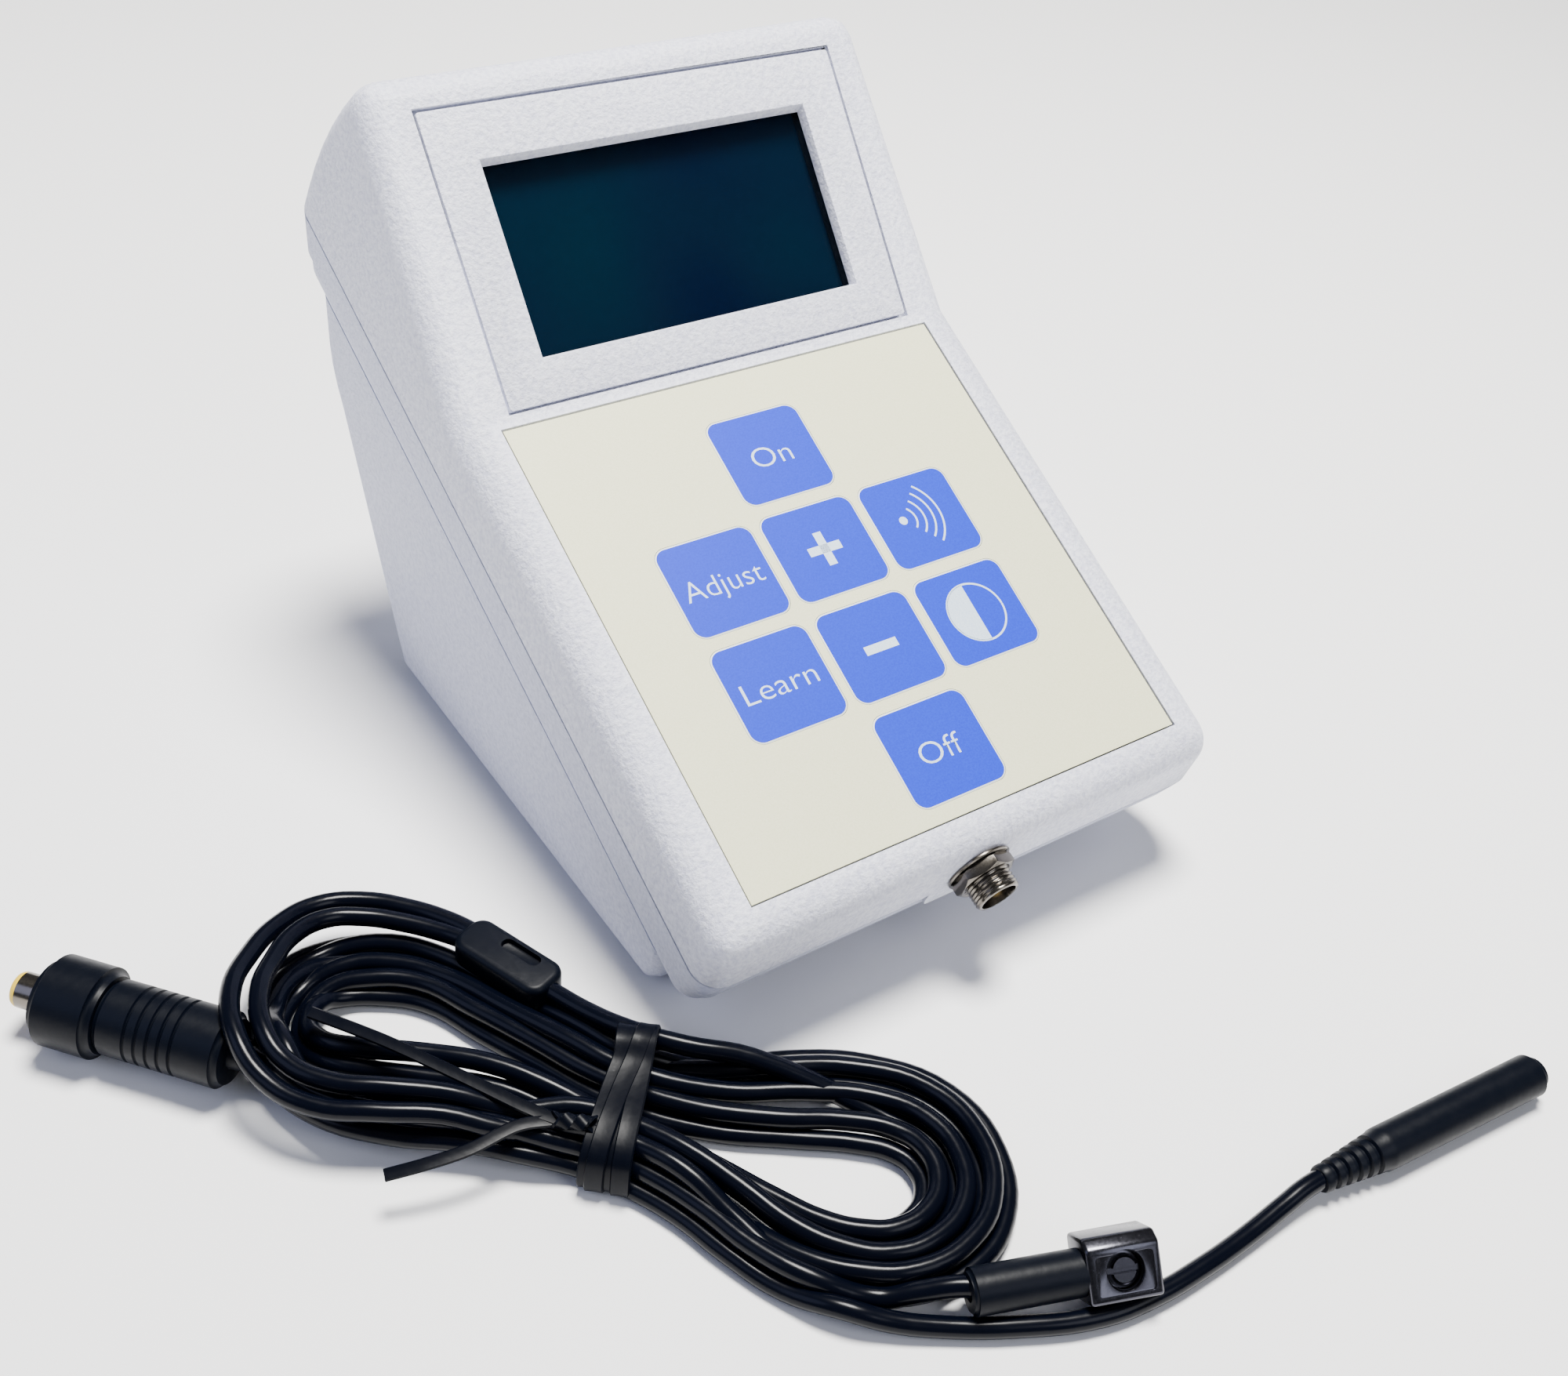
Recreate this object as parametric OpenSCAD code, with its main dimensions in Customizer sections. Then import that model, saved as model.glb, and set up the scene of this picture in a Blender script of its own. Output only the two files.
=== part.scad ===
// Desk-top apex locator: a wedge-shaped two-part case with a display window,
// a flat membrane keypad, a threaded lead socket and a two-branch patient lead.
// Millimetres. The base rests on z = 0, the keypad faces -Y and up.

/* [Case] */
// Width of the case at the seam between cover and rear shell
case_w = 101.6; // [98:0.2:106]
// Slope of the keypad face and of the seam, in degrees
slope = 26; // [24:0.5:28]
// Slope of the display face, in degrees
display_slope = 50; // [48:0.5:52]
// Height of the knee between the two faces above the table
knee_z = 68.7; // [68:0.1:70]
// Length of the keypad face from the knee to the front edge
face_len = 94.2; // [93:0.2:96]
// Length of the display face from the knee to the top edge
display_len = 56; // [55:0.2:57]
// Depth of the front cover below the keypad face
cover_depth = 12; // [11.5:0.1:12.5]
// Depth of the rear shell's tray below the seam
tray_depth = 12.3; // [12:0.1:13]
// Wall thickness of both mouldings
wall = 2.4; // [2:0.1:2.8]
// Radius of the cover's outer edges
edge_r = 4.7; // [4:0.1:5]

/* [Keypad] */
// Width of the keypad overlay
label_w = 84.8; // [84:0.1:86]
// Length of the keypad overlay down the slope
label_len = 86; // [85:0.1:86.5]
// Width of a key
key_w = 18.5; // [17:0.1:19]
// Length of a key down the slope
key_len = 17.2; // [15:0.1:18]
// Distance between key columns
key_pitch_x = 19.9; // [19.5:0.1:20.5]
// Distance between key rows
key_pitch_y = 19.3; // [19:0.1:20]
// Thickness of the overlay sheet
sheet_t = 0.5; // [0.4:0.05:0.6]
// Thickness of the spacer that holds the domes
spacer_t = 0.9; // [0.8:0.05:1]

/* [Display] */
// Width of the display bezel plate
bezel_w = 79.8; // [79:0.1:80.5]
// Height of the display bezel plate
bezel_h = 49.1; // [48:0.1:49.5]
// Width of the chamfered window opening
window_w = 64.4; // [63:0.1:65]
// Height of the chamfered window opening
window_h = 34.8; // [34:0.1:36]

/* [Socket and plug] */
// Radius of the socket's outer thread (5/16 inch)
thread_r = 3.97; // [3.9:0.01:4]
// Radius of the plug's barrel
barrel_r = 2.75; // [2.7:0.01:2.8]
// Radius of the lead's cord
cord_r = 1.55; // [1.3:0.05:1.7]

/* [Hidden] */

// Small overlap that joins two solids of one moulding, and a cut's overrun
eps = 0.02;
over = 1;
// Y of the knee between the two faces
knee_y = 15.3;
// Tilt of the display face against the keypad face
display_tilt = display_slope - slope;
// Half the case width at the seam, and how much the side walls lean in per mm of height
half_w = case_w / 2;
side_lean = 0.09;
// Lean of the front wall against the keypad's normal
front_lean = 8;
// Radius of the case corners in the seam plane
corner_r = 4.3;
front_seam = face_len + cover_depth * tan(front_lean);
// The head's back is an arc: its radius and centre, in the keypad's own frame
back_r = 63;
back_c = [-3.7, -8];
back_angles = [0, 8.4, 16.8, 25.2];
rear_seam = back_c.x + back_r;
// Depth of the tray floor below the keypad face
tray_floor = cover_depth + tray_depth;
// Foot of the rear shell: base plane, front and rear ends, measured at the table
foot_t = 1;
base_rear = 44.8;
base_front = -47.9;
foot_half_w = half_w - 0.9;
rear_tilt = 24.4;
// Radius of the foot's edges, and of its rear corners
foot_r = 3;
rear_r = 4;

// Keypad stack, from the face down
label_drop = 0.2;
circuit_t = 0.3;
spacer_top = -label_drop - sheet_t;
circuit_top = spacer_top - spacer_t;
recess_floor = circuit_top - circuit_t;
floor_bottom = -4.2;
label_mid = -2.4 - label_len / 2;
label_gap = 0.35;
key_gap = 0.1;
key_corner = 2.5;
key_x0 = -0.5;
key_y0 = -19.2;
dome_r = 6;
dome_h = 0.42;
// Column and row of each key
key_on_at = [0, 0];
key_adjust_at = [-1, 1];
key_plus_at = [0, 1];
key_sound_at = [1, 1];
key_learn_at = [-1, 2];
key_minus_at = [0, 2];
key_contrast_at = [1, 2];
key_off_at = [0, 3];
KEYS = [key_on_at, key_adjust_at, key_plus_at, key_sound_at, key_learn_at, key_minus_at,
    key_contrast_at, key_off_at];

// Display stack, below the display face
bezel_t = 2;
bezel_bottom = 0.4;
pan_bottom = -4;
bezel_mid = bezel_bottom + bezel_h / 2;
window_mid = 24.35;
window_bevel = 1.6;
lens_t = 1.1;
lcd_top = -3.4;
lcd_t = 4.4;
lcd_board_top = lcd_top - lcd_t - 0.2;
board_t = 1.6;
lcd_post_x = 33;
lcd_post_y = [2.2, 46.6];

// Socket on the front wall
jack_drop = 8.5;
bushing_out = 6.1;
washer_t = 0.6;
nut_t = 2.1;
nut_r = 5.48;
pin_r = 1;

// Case screws, in the keypad's own frame
screw_x = 43;
screw_y = [-58, 33];
// Main board, in the keypad's own frame
board_top = -8.2;
board_y = [-77, -11];
board_half_w = 39;
board_post_x = 35;
board_post_y = [-72, -16];

// Plug: place of the collar's front face, and its heading on the table
plug_at = [-130.4, -10.7, 7];
plug_turn = -50;
boot_r = 5.75;
boot_start = 10.6;
boot_end = 32.5;
// Splitter block
split_at = [-69.2, -38.6, 7.2];
split_turn = -69;
// Clip and its sleeve
clip_at = [-26.8, -125.3, 5.4];
clip_turn = -20;
clip_roll = 45;
// Probe handle: place of the cord's end and heading
probe_at = [15.2, -131.6, 3.6];
probe_turn = -5;

// Middle line of the tied hank, round both loops and through the tie
HANK = [[-66, -62], [-70, -44], [-76, -28], [-85, -19], [-95, -19], [-101, -29], [-101, -42],
    [-94, -53], [-83, -63], [-72, -75], [-66, -86], [-61, -99], [-53, -109], [-42, -111],
    [-31, -106], [-27, -95], [-32, -84], [-44, -76], [-56, -69]];
hank_h = 7.5;
hank_half_w = 7.5;
// Route of the cord from the plug's boot to the hank
PLUG_ROUTE = [[-111.3, -33.5, 7], [-109.3, -35.9, 6.9], [-106.8, -39.2, 5.8], [-103.6, -43.4, 4.6], [-101, -46.6, 4]];
// Route of the cord from the hank to the probe
PROBE_ROUTE = [[-50, -117.4, 1.7], [-46.2, -120.8, 1.6], [-38.3, -125.6, 1.6], [-31, -129.3, 1.6],
    [-25, -131.7, 1.6], [-18, -132.8, 1.6], [-11, -132.8, 1.6], [-4, -132.4, 1.6],
    [3, -131.8, 1.8], [9, -131.5, 2.6], [15.2, -131.6, 3.6]];
// Wires inside the case
BATTERY_ROUTE = [[25.1, 25, 17], [29, 25, 17], [34, 25, 18], [37, 23, 22], [36, 18, 30], [31, 10, 38],
    [27, 5.5, 43.5], [26, 4.4, 45.6]];
JACK_ROUTE = [[3.4, -52.2, 23.9], [5, -50.5, 22.8], [9, -47, 21.8], [13, -43, 22.6], [16, -41, 24.6]];

// ---- Frames -------------------------------------------------------------

// The keypad's frame: Y runs up the slope from the knee, Z stands out of the face
module on_keypad() {
    translate([0, knee_y, knee_z]) rotate([slope, 0, 0]) children();
}

// The display's frame: Y runs up the display from the knee, Z stands out of it
module on_display() {
    translate([0, knee_y, knee_z]) rotate([display_slope, 0, 0]) children();
}

// The socket's frame: Z points out of the front wall at the socket's centre
module on_socket() {
    on_keypad() translate([0, -face_len - jack_drop * tan(front_lean), -jack_drop])
        rotate([90 - front_lean, 0, 0]) children();
}

// The plug's frame: Z runs from the collar's front face towards the cord
module on_plug() {
    translate(plug_at) rotate([0, 0, plug_turn]) rotate([0, 90, 0]) children();
}

module on_key(at) {
    on_keypad() translate([key_x0 + at.x * key_pitch_x, key_y0 - at.y * key_pitch_y, 0])
        children();
}

// ---- Shared shapes ------------------------------------------------------

// A rectangle with round corners, kept exact
module round_rect(w, h, r) {
    square([w - 2 * r, h], center = true);
    square([w, h - 2 * r], center = true);
    for (x = [-1, 1], y = [-1, 1])
        translate([x * (w / 2 - r), y * (h / 2 - r)]) circle(r, $fn = 32);
}

// A plate with round corners between two heights
module plate(w, h, r, low, high) {
    translate([0, 0, low]) linear_extrude(high - low) round_rect(w, h, r);
}

// A box centred in X and Y between two heights
module block(w, h, low, high) {
    translate([-w / 2, -h / 2, low]) cube([w, h, high - low]);
}

// A tube or rod along Z between two heights
module rod(r, low, high, sides = 48) {
    translate([0, 0, low]) cylinder(r = r, h = high - low, $fn = sides);
}

// A pair of balls, one at each side, in the keypad's frame
module side_balls(half, y, z, r) {
    for (x = [-1, 1]) translate([x * (half - r), y, z]) sphere(r, $fn = 24);
}

// A pair of short posts at the seam
module seam_posts(half, y, low, high, r) {
    for (x = [-1, 1]) translate([x * (half - r), y, low])
        cylinder(r = r, h = high - low, $fn = 24);
}

// Unit vector, and the frame of one ring of a swept tube
function unit(v) = v / norm(v);
function tangent(path, i) = unit(path[min(i + 1, len(path) - 1)] - path[max(i - 1, 0)]);
function side_of(t) = unit(cross(t, [0, 0, 1]));
function ring(path, i, r, sides) =
    let (t = tangent(path, i), s = side_of(t), u = cross(s, t))
    [for (k = [0:sides - 1]) path[i] + r * (cos(360 * k / sides) * s + sin(360 * k / sides) * u)];

// A closed tube swept along a path
module tube(path, r, sides = 8) {
    n = len(path);
    points = [for (i = [0:n - 1]) each ring(path, i, r, sides)];
    walls = [for (i = [0:n - 2], k = [0:sides - 1])
        let (a = i * sides + k, b = i * sides + (k + 1) % sides)
        [a, b, b + sides, a + sides]];
    ends = [[for (k = [sides - 1:-1:0]) k], [for (k = [0:sides - 1]) (n - 1) * sides + k]];
    polyhedron(points, concat(walls, ends));
}

// ---- Case ---------------------------------------------------------------

function wall_x(z) = half_w - side_lean * (z + cover_depth);

// The cover's outer form, or its hollow when inset by the wall
module cover_form(inset) {
    r = edge_r - inset;
    cr = corner_r - inset;
    low = -cover_depth - (inset > 0 ? over : 0);
    hull() {
        for (y = [-front_seam + corner_r, 12]) seam_posts(half_w - inset, y, low, low + 0.1 + inset, cr);
        for (y = [-face_len + edge_r * 0.87, 12])
            side_balls(wall_x(-edge_r) - inset, y, -edge_r, r);
    }
    hull() {
        for (y = [0, rear_seam - corner_r])
            seam_posts(half_w - inset, y, low, low + 0.1 + inset, cr);
        side_balls(wall_x(-5.1) - inset, 0.1, -5.1, r);
        for (a = back_angles) {
            z = back_c.y + (back_r - edge_r) * sin(a);
            side_balls(wall_x(z) - inset, back_c.x + (back_r - edge_r) * cos(a), z, r);
        }
    }
}

module front_cover() {
    color("ghostwhite") {
        difference() {
            union() {
                difference() {
                    on_keypad() cover_form(0);
                    on_keypad() cover_form(wall);
                }
                // Floor under the keypad, posts for the boards and screws, tab round the socket
                on_keypad() {
                    translate([0, label_mid, 0]) block(label_w + 6, label_len + 4, floor_bottom, -1.5);
                    for (x = [-1, 1] * screw_x, y = screw_y)
                        translate([x, y, 0]) rod(3.2, -cover_depth, y < 0 ? -2 : 13);
                    for (x = [-1, 1] * board_post_x, y = board_post_y)
                        translate([x, y, 0]) rod(2.5, board_top, floor_bottom + eps);
                }
                on_display() {
                    translate([0, bezel_mid, 0]) block(85, 51, pan_bottom, -1);
                    for (x = [-1, 1] * lcd_post_x, y = lcd_post_y)
                        translate([x, y, 0]) rod(2.3, lcd_board_top, pan_bottom + eps);
                }
                on_socket() translate([0, -3, 0]) block(17, 8, -wall, -0.05);
            }
            on_keypad() {
                translate([0, label_mid, 0])
                    block(label_w + 2 * label_gap, label_len + 2 * label_gap, recess_floor, over);
                // Slot for the keypad's tail
                translate([0, -6, 0]) block(18, 2.4, floor_bottom - over, over);
                for (x = [-1, 1] * screw_x, y = screw_y)
                    translate([x, y, 0]) rod(1.25, -cover_depth - over, -4);
                for (x = [-1, 1] * board_post_x, y = board_post_y)
                    translate([x, y, 0]) rod(1, board_top - over, floor_bottom - 0.5);
            }
            on_display() {
                translate([0, bezel_mid + 0.1, 0])
                    block(bezel_w + 0.6, bezel_h + 0.9, -bezel_t, over);
                translate([0, window_mid, 0]) block(72, 40.4, -wall - 6, 0);
                for (x = [-1, 1] * lcd_post_x, y = lcd_post_y)
                    translate([x, y, 0]) rod(0.9, lcd_board_top - over, -3);
            }
            on_socket() {
                rod(thread_r + 0.13, -12, over);
                rod(6.3, -0.12, 3);
                rod(5.8, -16, -wall + 0.12);
            }
        }
    }
}

// The rear shell's tray: rim at the seam, floor parallel to it
module tray_form(inset) {
    r = 4 - inset;
    cr = corner_r - inset;
    high = -cover_depth + (inset > 0 ? over : 0);
    rear_floor = rear_seam - (tray_depth - 4) * tan(slope);
    hull() {
        for (y = [-front_seam + corner_r, rear_seam - corner_r])
            seam_posts(half_w - inset, y, -cover_depth - 0.1, high, cr);
        for (y = [-front_seam + 4.8, rear_floor - 4])
            side_balls(half_w - 0.3 - inset, y, -tray_floor + 4, r);
    }
}

// The foot: level base, leaning rear wall; drawn in the table's frame
module foot_form(inset) {
    rise = 47;
    hull() {
        translate([0, base_front + foot_r, foot_t + foot_r])
            side_balls(foot_half_w - inset, 0, 0, foot_r - inset);
        translate([0, base_rear - 1.6, foot_t + rear_r])
            side_balls(foot_half_w - inset, 0, 0, rear_r - inset);
        translate([0, base_rear - 3.2 + rise * tan(rear_tilt), foot_t + rise - 2])
            side_balls(foot_half_w - inset, 0, 0, rear_r - inset);
        translate([0, 68.6 - rear_r, knee_z - 11])
            side_balls(foot_half_w - inset, 0, 0, rear_r - inset);
        on_keypad() for (y = [-83.5, 34]) side_balls(foot_half_w - inset, y, -tray_floor + 4.4, foot_r - inset);
        translate([0, 68.6 - rear_r, knee_z - 1])
            side_balls(foot_half_w - inset, 0, 0, rear_r - inset);
    }
}

module shell_form() {
    on_keypad() tray_form(0);
    foot_form(0);
}

door_y = [9, 41];
door_half_w = 29;
door_t = 2.2;

module rear_shell() {
    door_mid = (door_y[0] + door_y[1]) / 2;
    color("lavender") {
        difference() {
            union() {
                difference() {
                    shell_form();
                    on_keypad() tray_form(wall);
                    foot_form(wall);
                }
                // Screw columns from the seam down
                on_keypad() for (x = [-1, 1] * screw_x, y = screw_y)
                    translate([x, y, 0]) rod(4.6, y < 0 ? -44 : -35, -cover_depth);
                // Battery box and the thick rails round its door
                translate([0, door_mid - 0.8, 0]) difference() {
                    block(64, 31, foot_t + 1, 24.5);
                    block(50.5, 28, 0, 23);
                }
            }
            on_keypad() for (x = [-1, 1] * screw_x, y = screw_y) translate([x, y, 0]) {
                rod(1.7, -90, 0);
                rod(3.3, -110, -22);
            }
            // Door recess, its side grooves and the way into the battery box
            translate([-door_half_w - 0.3, door_y[0] - 0.3, 0]) cube([2 * door_half_w + 0.6, 60, foot_t + door_t + 0.2]);
            translate([-door_half_w - 1.8, door_y[0] - 0.3, foot_t + 1])
                cube([2 * door_half_w + 3.6, 60, door_t - 0.8]);
            translate([0, door_mid - 0.8, 0]) block(50.5, 28, 0, 10);
            // Notch for the tab round the socket
            on_socket() translate([0, -3.2, 0]) block(17.6, 8.2, -wall - 1.2, over);
            // Way through the box wall for the battery's wires
            translate([24, door_mid, 17]) rotate([0, 90, 0]) rod(2.2, 0, 10);
            // Pockets for the rubber feet
            for (x = [-1, 1] * 40, y = [-36, 32]) translate([x, y, 0]) rod(5.15, 0, foot_t + 0.7);
        }
    }
}

module rubber_feet() {
    color("dimgray") for (x = [-1, 1] * 40, y = [-36, 32])
        translate([x, y, 0]) rod(5, 0, foot_t + 0.7);
}

module battery_door() {
    color("lavender") {
        translate([-door_half_w, door_y[0], foot_t]) cube([2 * door_half_w, door_y[1] - door_y[0], door_t]);
        translate([-door_half_w - 1.5, door_y[0], foot_t + 1.15])
            cube([2 * door_half_w + 3, door_y[1] - door_y[0], door_t - 1.15]);
    }
}

module case_screws() {
    color("silver") on_keypad() for (x = [-1, 1] * screw_x, y = screw_y)
        translate([x, y, 0]) {
            difference() {
                rod(2.9, -24, -22);
                translate([0, 0, -24]) cube([4, 0.8, 1.6], center = true);
                translate([0, 0, -24]) cube([0.8, 4, 1.6], center = true);
            }
            rod(1.2, -22 - eps, -5);
        }
}

// ---- Display ------------------------------------------------------------

module display_bezel() {
    color("ghostwhite") on_display() difference() {
        translate([0, bezel_mid, 0]) block(bezel_w, bezel_h, -bezel_t, 0);
        // Window with bevelled sides, wider at the face
        translate([0, window_mid, 0]) polyhedron_frustum(window_w, window_h, window_bevel);
    }
}

// A four-sided cut that narrows with depth
module polyhedron_frustum(w, h, bevel) {
    lw = w / 2 - bevel;
    lh = h / 2 - bevel;
    grow = bevel * over / bezel_t;
    a = [lw - grow, lh - grow];
    b = [w / 2 + grow, h / 2 + grow];
    polyhedron(
        [[-a.x, -a.y, -bezel_t - over], [a.x, -a.y, -bezel_t - over], [a.x, a.y, -bezel_t - over],
            [-a.x, a.y, -bezel_t - over], [-b.x, -b.y, over], [b.x, -b.y, over],
            [b.x, b.y, over], [-b.x, b.y, over]],
        [[0, 1, 2, 3], [4, 7, 6, 5], [0, 4, 5, 1], [1, 5, 6, 2], [2, 6, 7, 3], [3, 7, 4, 0]]);
}

module display_window() {
    color("darkslategray", 0.6) on_display() translate([0, window_mid, 0])
        block(68, 38, -bezel_t - lens_t, -bezel_t);
}

module lcd_frame() {
    color("dimgray") on_display() translate([0, window_mid, 0]) difference() {
        block(71, 39.4, lcd_top - lcd_t, lcd_top);
        block(70, 38.4, lcd_top - lcd_t - over, lcd_top - 0.4);
        block(62, 32, lcd_top - over, lcd_top + over);
    }
}

module lcd_glass() {
    color("darkgreen") on_display() translate([0, window_mid, 0])
        block(69.4, 37.8, lcd_top - 3.4, lcd_top - 0.5);
}

module lcd_board() {
    color("darkgreen") on_display() difference() {
        translate([0, 24.4, 0]) block(78, 49.4, lcd_board_top - board_t, lcd_board_top);
        for (x = [-1, 1] * lcd_post_x, y = lcd_post_y)
            translate([x, y, 0]) rod(1.3, lcd_board_top - 3, lcd_board_top + over);
    }
}

module lcd_screws() {
    color("silver") on_display() for (x = [-1, 1] * lcd_post_x, y = lcd_post_y)
        translate([x, y, 0]) {
            rod(0.85, lcd_board_top - board_t - eps, -3.6);
            rod(1.9, lcd_board_top - board_t - 1.2, lcd_board_top - board_t);
        }
}

// ---- Keypad -------------------------------------------------------------

module key_holes(w, h, r, low, high) {
    for (k = KEYS)
        translate([key_x0 + k.x * key_pitch_x, key_y0 - k.y * key_pitch_y, 0])
            plate(w, h, r, low, high);
}

module keypad_overlay() {
    color("beige") on_keypad() difference() {
        translate([0, label_mid, 0]) block(label_w, label_len, spacer_top, -label_drop);
        key_holes(key_w, key_len, key_corner, spacer_top - over, over);
    }
}

module keypad_spacer() {
    color("whitesmoke") on_keypad() difference() {
        translate([0, label_mid, 0]) block(label_w, label_len, circuit_top, spacer_top);
        key_holes(key_w + 0.6, key_len + 0.6, key_corner, circuit_top - over, over);
    }
}

module keypad_circuit() {
    color("white") on_keypad() translate([0, label_mid, 0])
        block(label_w, label_len, recess_floor, circuit_top);
}

module keypad_domes() {
    color("silver") for (k = KEYS) on_key(k) translate([0, 0, circuit_top])
        cylinder(r1 = dome_r, r2 = dome_r / 2, h = dome_h, $fn = 48);
}

module keypad_tail() {
    color("goldenrod") on_keypad() translate([-7, 0, 0]) rotate([90, 0, 90])
        linear_extrude(14) polygon([[-6.1, -5.6], [-14.8, -5.6], [-14.8, -5.8], [-5.9, -5.8],
            [-5.9, recess_floor], [-6.1, recess_floor]]);
}

module key(at) {
    color("cornflowerblue") on_key(at)
        plate(key_w - 2 * key_gap, key_len - 2 * key_gap, key_corner, spacer_top, -label_drop);
}

module key_on() { key(key_on_at); }
module key_adjust() { key(key_adjust_at); }
module key_plus() { key(key_plus_at); }
module key_sound() { key(key_sound_at); }
module key_learn() { key(key_learn_at); }
module key_minus() { key(key_minus_at); }
module key_contrast() { key(key_contrast_at); }
module key_off() { key(key_off_at); }

// ---- Electronics --------------------------------------------------------

module main_board() {
    color("darkgreen") on_keypad() difference() {
        translate([-board_half_w, board_y[0], board_top - board_t])
            cube([2 * board_half_w, board_y[1] - board_y[0], board_t]);
        for (x = [-1, 1] * board_post_x, y = board_post_y)
            translate([x, y, 0]) rod(1.4, board_top - 3, board_top + over);
    }
}

module board_screws() {
    color("silver") on_keypad() for (x = [-1, 1] * board_post_x, y = board_post_y)
        translate([x, y, 0]) {
            rod(0.95, board_top - board_t - eps, -5.2);
            rod(2, board_top - board_t - 1.3, board_top - board_t);
        }
}

module board_chips() {
    under = board_top - board_t;
    color("darkslategray") on_keypad() {
        translate([-14, -38, 0]) block(14, 14, under - 2.2, under);
        translate([12, -32, 0]) block(20, 8, under - 3.4, under);
        for (i = [0:3]) translate([-28 + i * 9, -60, 0]) block(5, 6, under - 1.8, under);
        for (i = [0:2]) translate([12 + i * 8, -50, 0]) rod(2.6, under - 7, under);
    }
}

module board_connectors() {
    color("ivory") on_keypad() {
        translate([0, -17.6, 0]) block(18, 5.2, board_top, board_top + 2.4);
        translate([26, -20, 0]) block(7, 5, board_top - board_t - 6, board_top - board_t);
        translate([16, -70, 0]) block(8, 5, board_top - board_t - 5, board_top - board_t);
    }
}

module sounder() {
    color("black") on_keypad() translate([-24, -22, 0]) difference() {
        rod(8, board_top - board_t - 7, board_top - board_t);
        rod(1.2, board_top - board_t - 8, board_top - board_t - 5);
    }
}

module battery() {
    color("gray") translate([0, 24.2, 4]) {
        translate([-24.2, -13.2, 0]) cube([44.5, 26.4, 17.2]);
        for (y = [-6.35, 6.35]) translate([20.3, y, 8.6]) rotate([0, 90, 0]) rod(2.8, -eps, 2.4);
    }
}

module battery_snap() {
    color("black") translate([22.8, 24.2 - 12.5, 5]) difference() {
        cube([2.3, 25, 15.2]);
        for (y = [6.15, 18.85]) translate([-over, y, 7.6]) rotate([0, 90, 0]) rod(1, 0, 5);
    }
}

module battery_wires() {
    color("crimson") tube(BATTERY_ROUTE, 0.7);
}

module jack_wires() {
    color("crimson") tube(JACK_ROUTE, 0.6);
}

// ---- Lead socket --------------------------------------------------------

module jack_bushing() {
    color("silver") on_socket() difference() {
        union() {
            rod(thread_r, washer_t + nut_t, bushing_out, 64);
            rod(thread_r - 0.2, -8.8, washer_t + nut_t + eps, 64);
            rod(5.4, -3.8, -wall + 0.12, 64);
        }
        rod(3.1, -7, bushing_out + over, 48);
        rod(pin_r + 0.05, -10, 0, 32);
    }
}

module jack_washer() {
    color("silver") on_socket() difference() {
        rod(5.75, -0.12, washer_t, 64);
        rod(thread_r + 0.02, -over, 2, 64);
        translate([-3.4, -3.5, 0]) rod(0.5, -over, 2, 24);
    }
}

module jack_nut() {
    color("silver") on_socket() difference() {
        intersection() {
            rod(nut_r, washer_t, washer_t + nut_t, 6);
            translate([0, 0, washer_t]) cylinder(r1 = 6.3, r2 = 4.9, h = nut_t, $fn = 64);
        }
        rod(thread_r + 0.03, 0, 4, 64);
    }
}

module jack_body() {
    color("black") on_socket() difference() {
        rod(5.2, -12, -3.9, 48);
        rod(thread_r + 0.03, -8.9, 0, 64);
        rod(pin_r + 0.05, -13, 0, 32);
    }
}

module jack_insulator() {
    color("black") on_socket() difference() {
        rod(3.05, -6.95, -4.5, 48);
        rod(pin_r + 0.05, -8, 0, 32);
    }
}

module jack_pin() {
    color("silver") on_socket() {
        rod(pin_r, -12.4, 4, 32);
        translate([0, 0, 4]) cylinder(r1 = pin_r, r2 = 0.5, h = 0.8, $fn = 32);
    }
}

module jack_terminals() {
    color("gold") on_socket() for (x = [-1, 1])
        translate([x * 3.4 - 0.9, -0.3, -15]) cube([1.8, 0.6, 3]);
}

// ---- Lead ---------------------------------------------------------------

module plug_collar() {
    color("midnightblue") on_plug() difference() {
        union() {
            rod(6.4, 0, 0.7, 64);
            rod(7, 0.6, 9.7, 64);
            rod(6.3, 9.6, 10.3, 64);
        }
        rod(4.05, -over, 5, 64);
        rod(4.56, 5 - eps, 11, 64);
    }
}

module plug_tip() {
    color("yellow") on_plug() difference() {
        rod(barrel_r - 0.2, -5.2, -4.2, 48);
        rod(1.25, -6, 0, 32);
    }
}

module plug_barrel() {
    color("silver") on_plug() difference() {
        union() {
            rod(barrel_r, -4.2, 0, 48);
            rod(barrel_r - 0.2, -eps, 14, 48);
        }
        rod(1.25, -6, 9, 32);
    }
}

module plug_boot() {
    color("midnightblue") on_plug() difference() {
        union() {
            rod(4.5, 5.5, boot_start + 0.1, 64);
            rod(boot_r, boot_start, 29.4, 64);
            translate([0, 0, 29.4 - eps]) cylinder(r1 = boot_r, r2 = 5, h = 0.8, $fn = 64);
            rod(2.3, 29.4, boot_end, 48);
        }
        rod(barrel_r - 0.2, 5, 14, 48);
        // Grip rings
        for (i = [0:4]) translate([0, 0, 15.3 + 1.85 * i]) difference() {
            rod(boot_r + 1, 0, 0.6, 48);
            rod(boot_r - 0.45, -over, 2, 48);
        }
        rod(cord_r, 28.5, boot_end + over, 32);
    }
}

module cord_splitter() {
    color("midnightblue") translate(split_at) rotate([0, 0, split_turn]) difference() {
        union() {
            block(18, 5.6, -2.5, 2.5);
            block(15, 7.6, -2.5, 2.5);
        }
        block(7, 1.8, 1.3, 3.8);
    }
}

module plug_cord() {
    color("midnightblue") tube(PLUG_ROUTE, cord_r);
}

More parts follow.
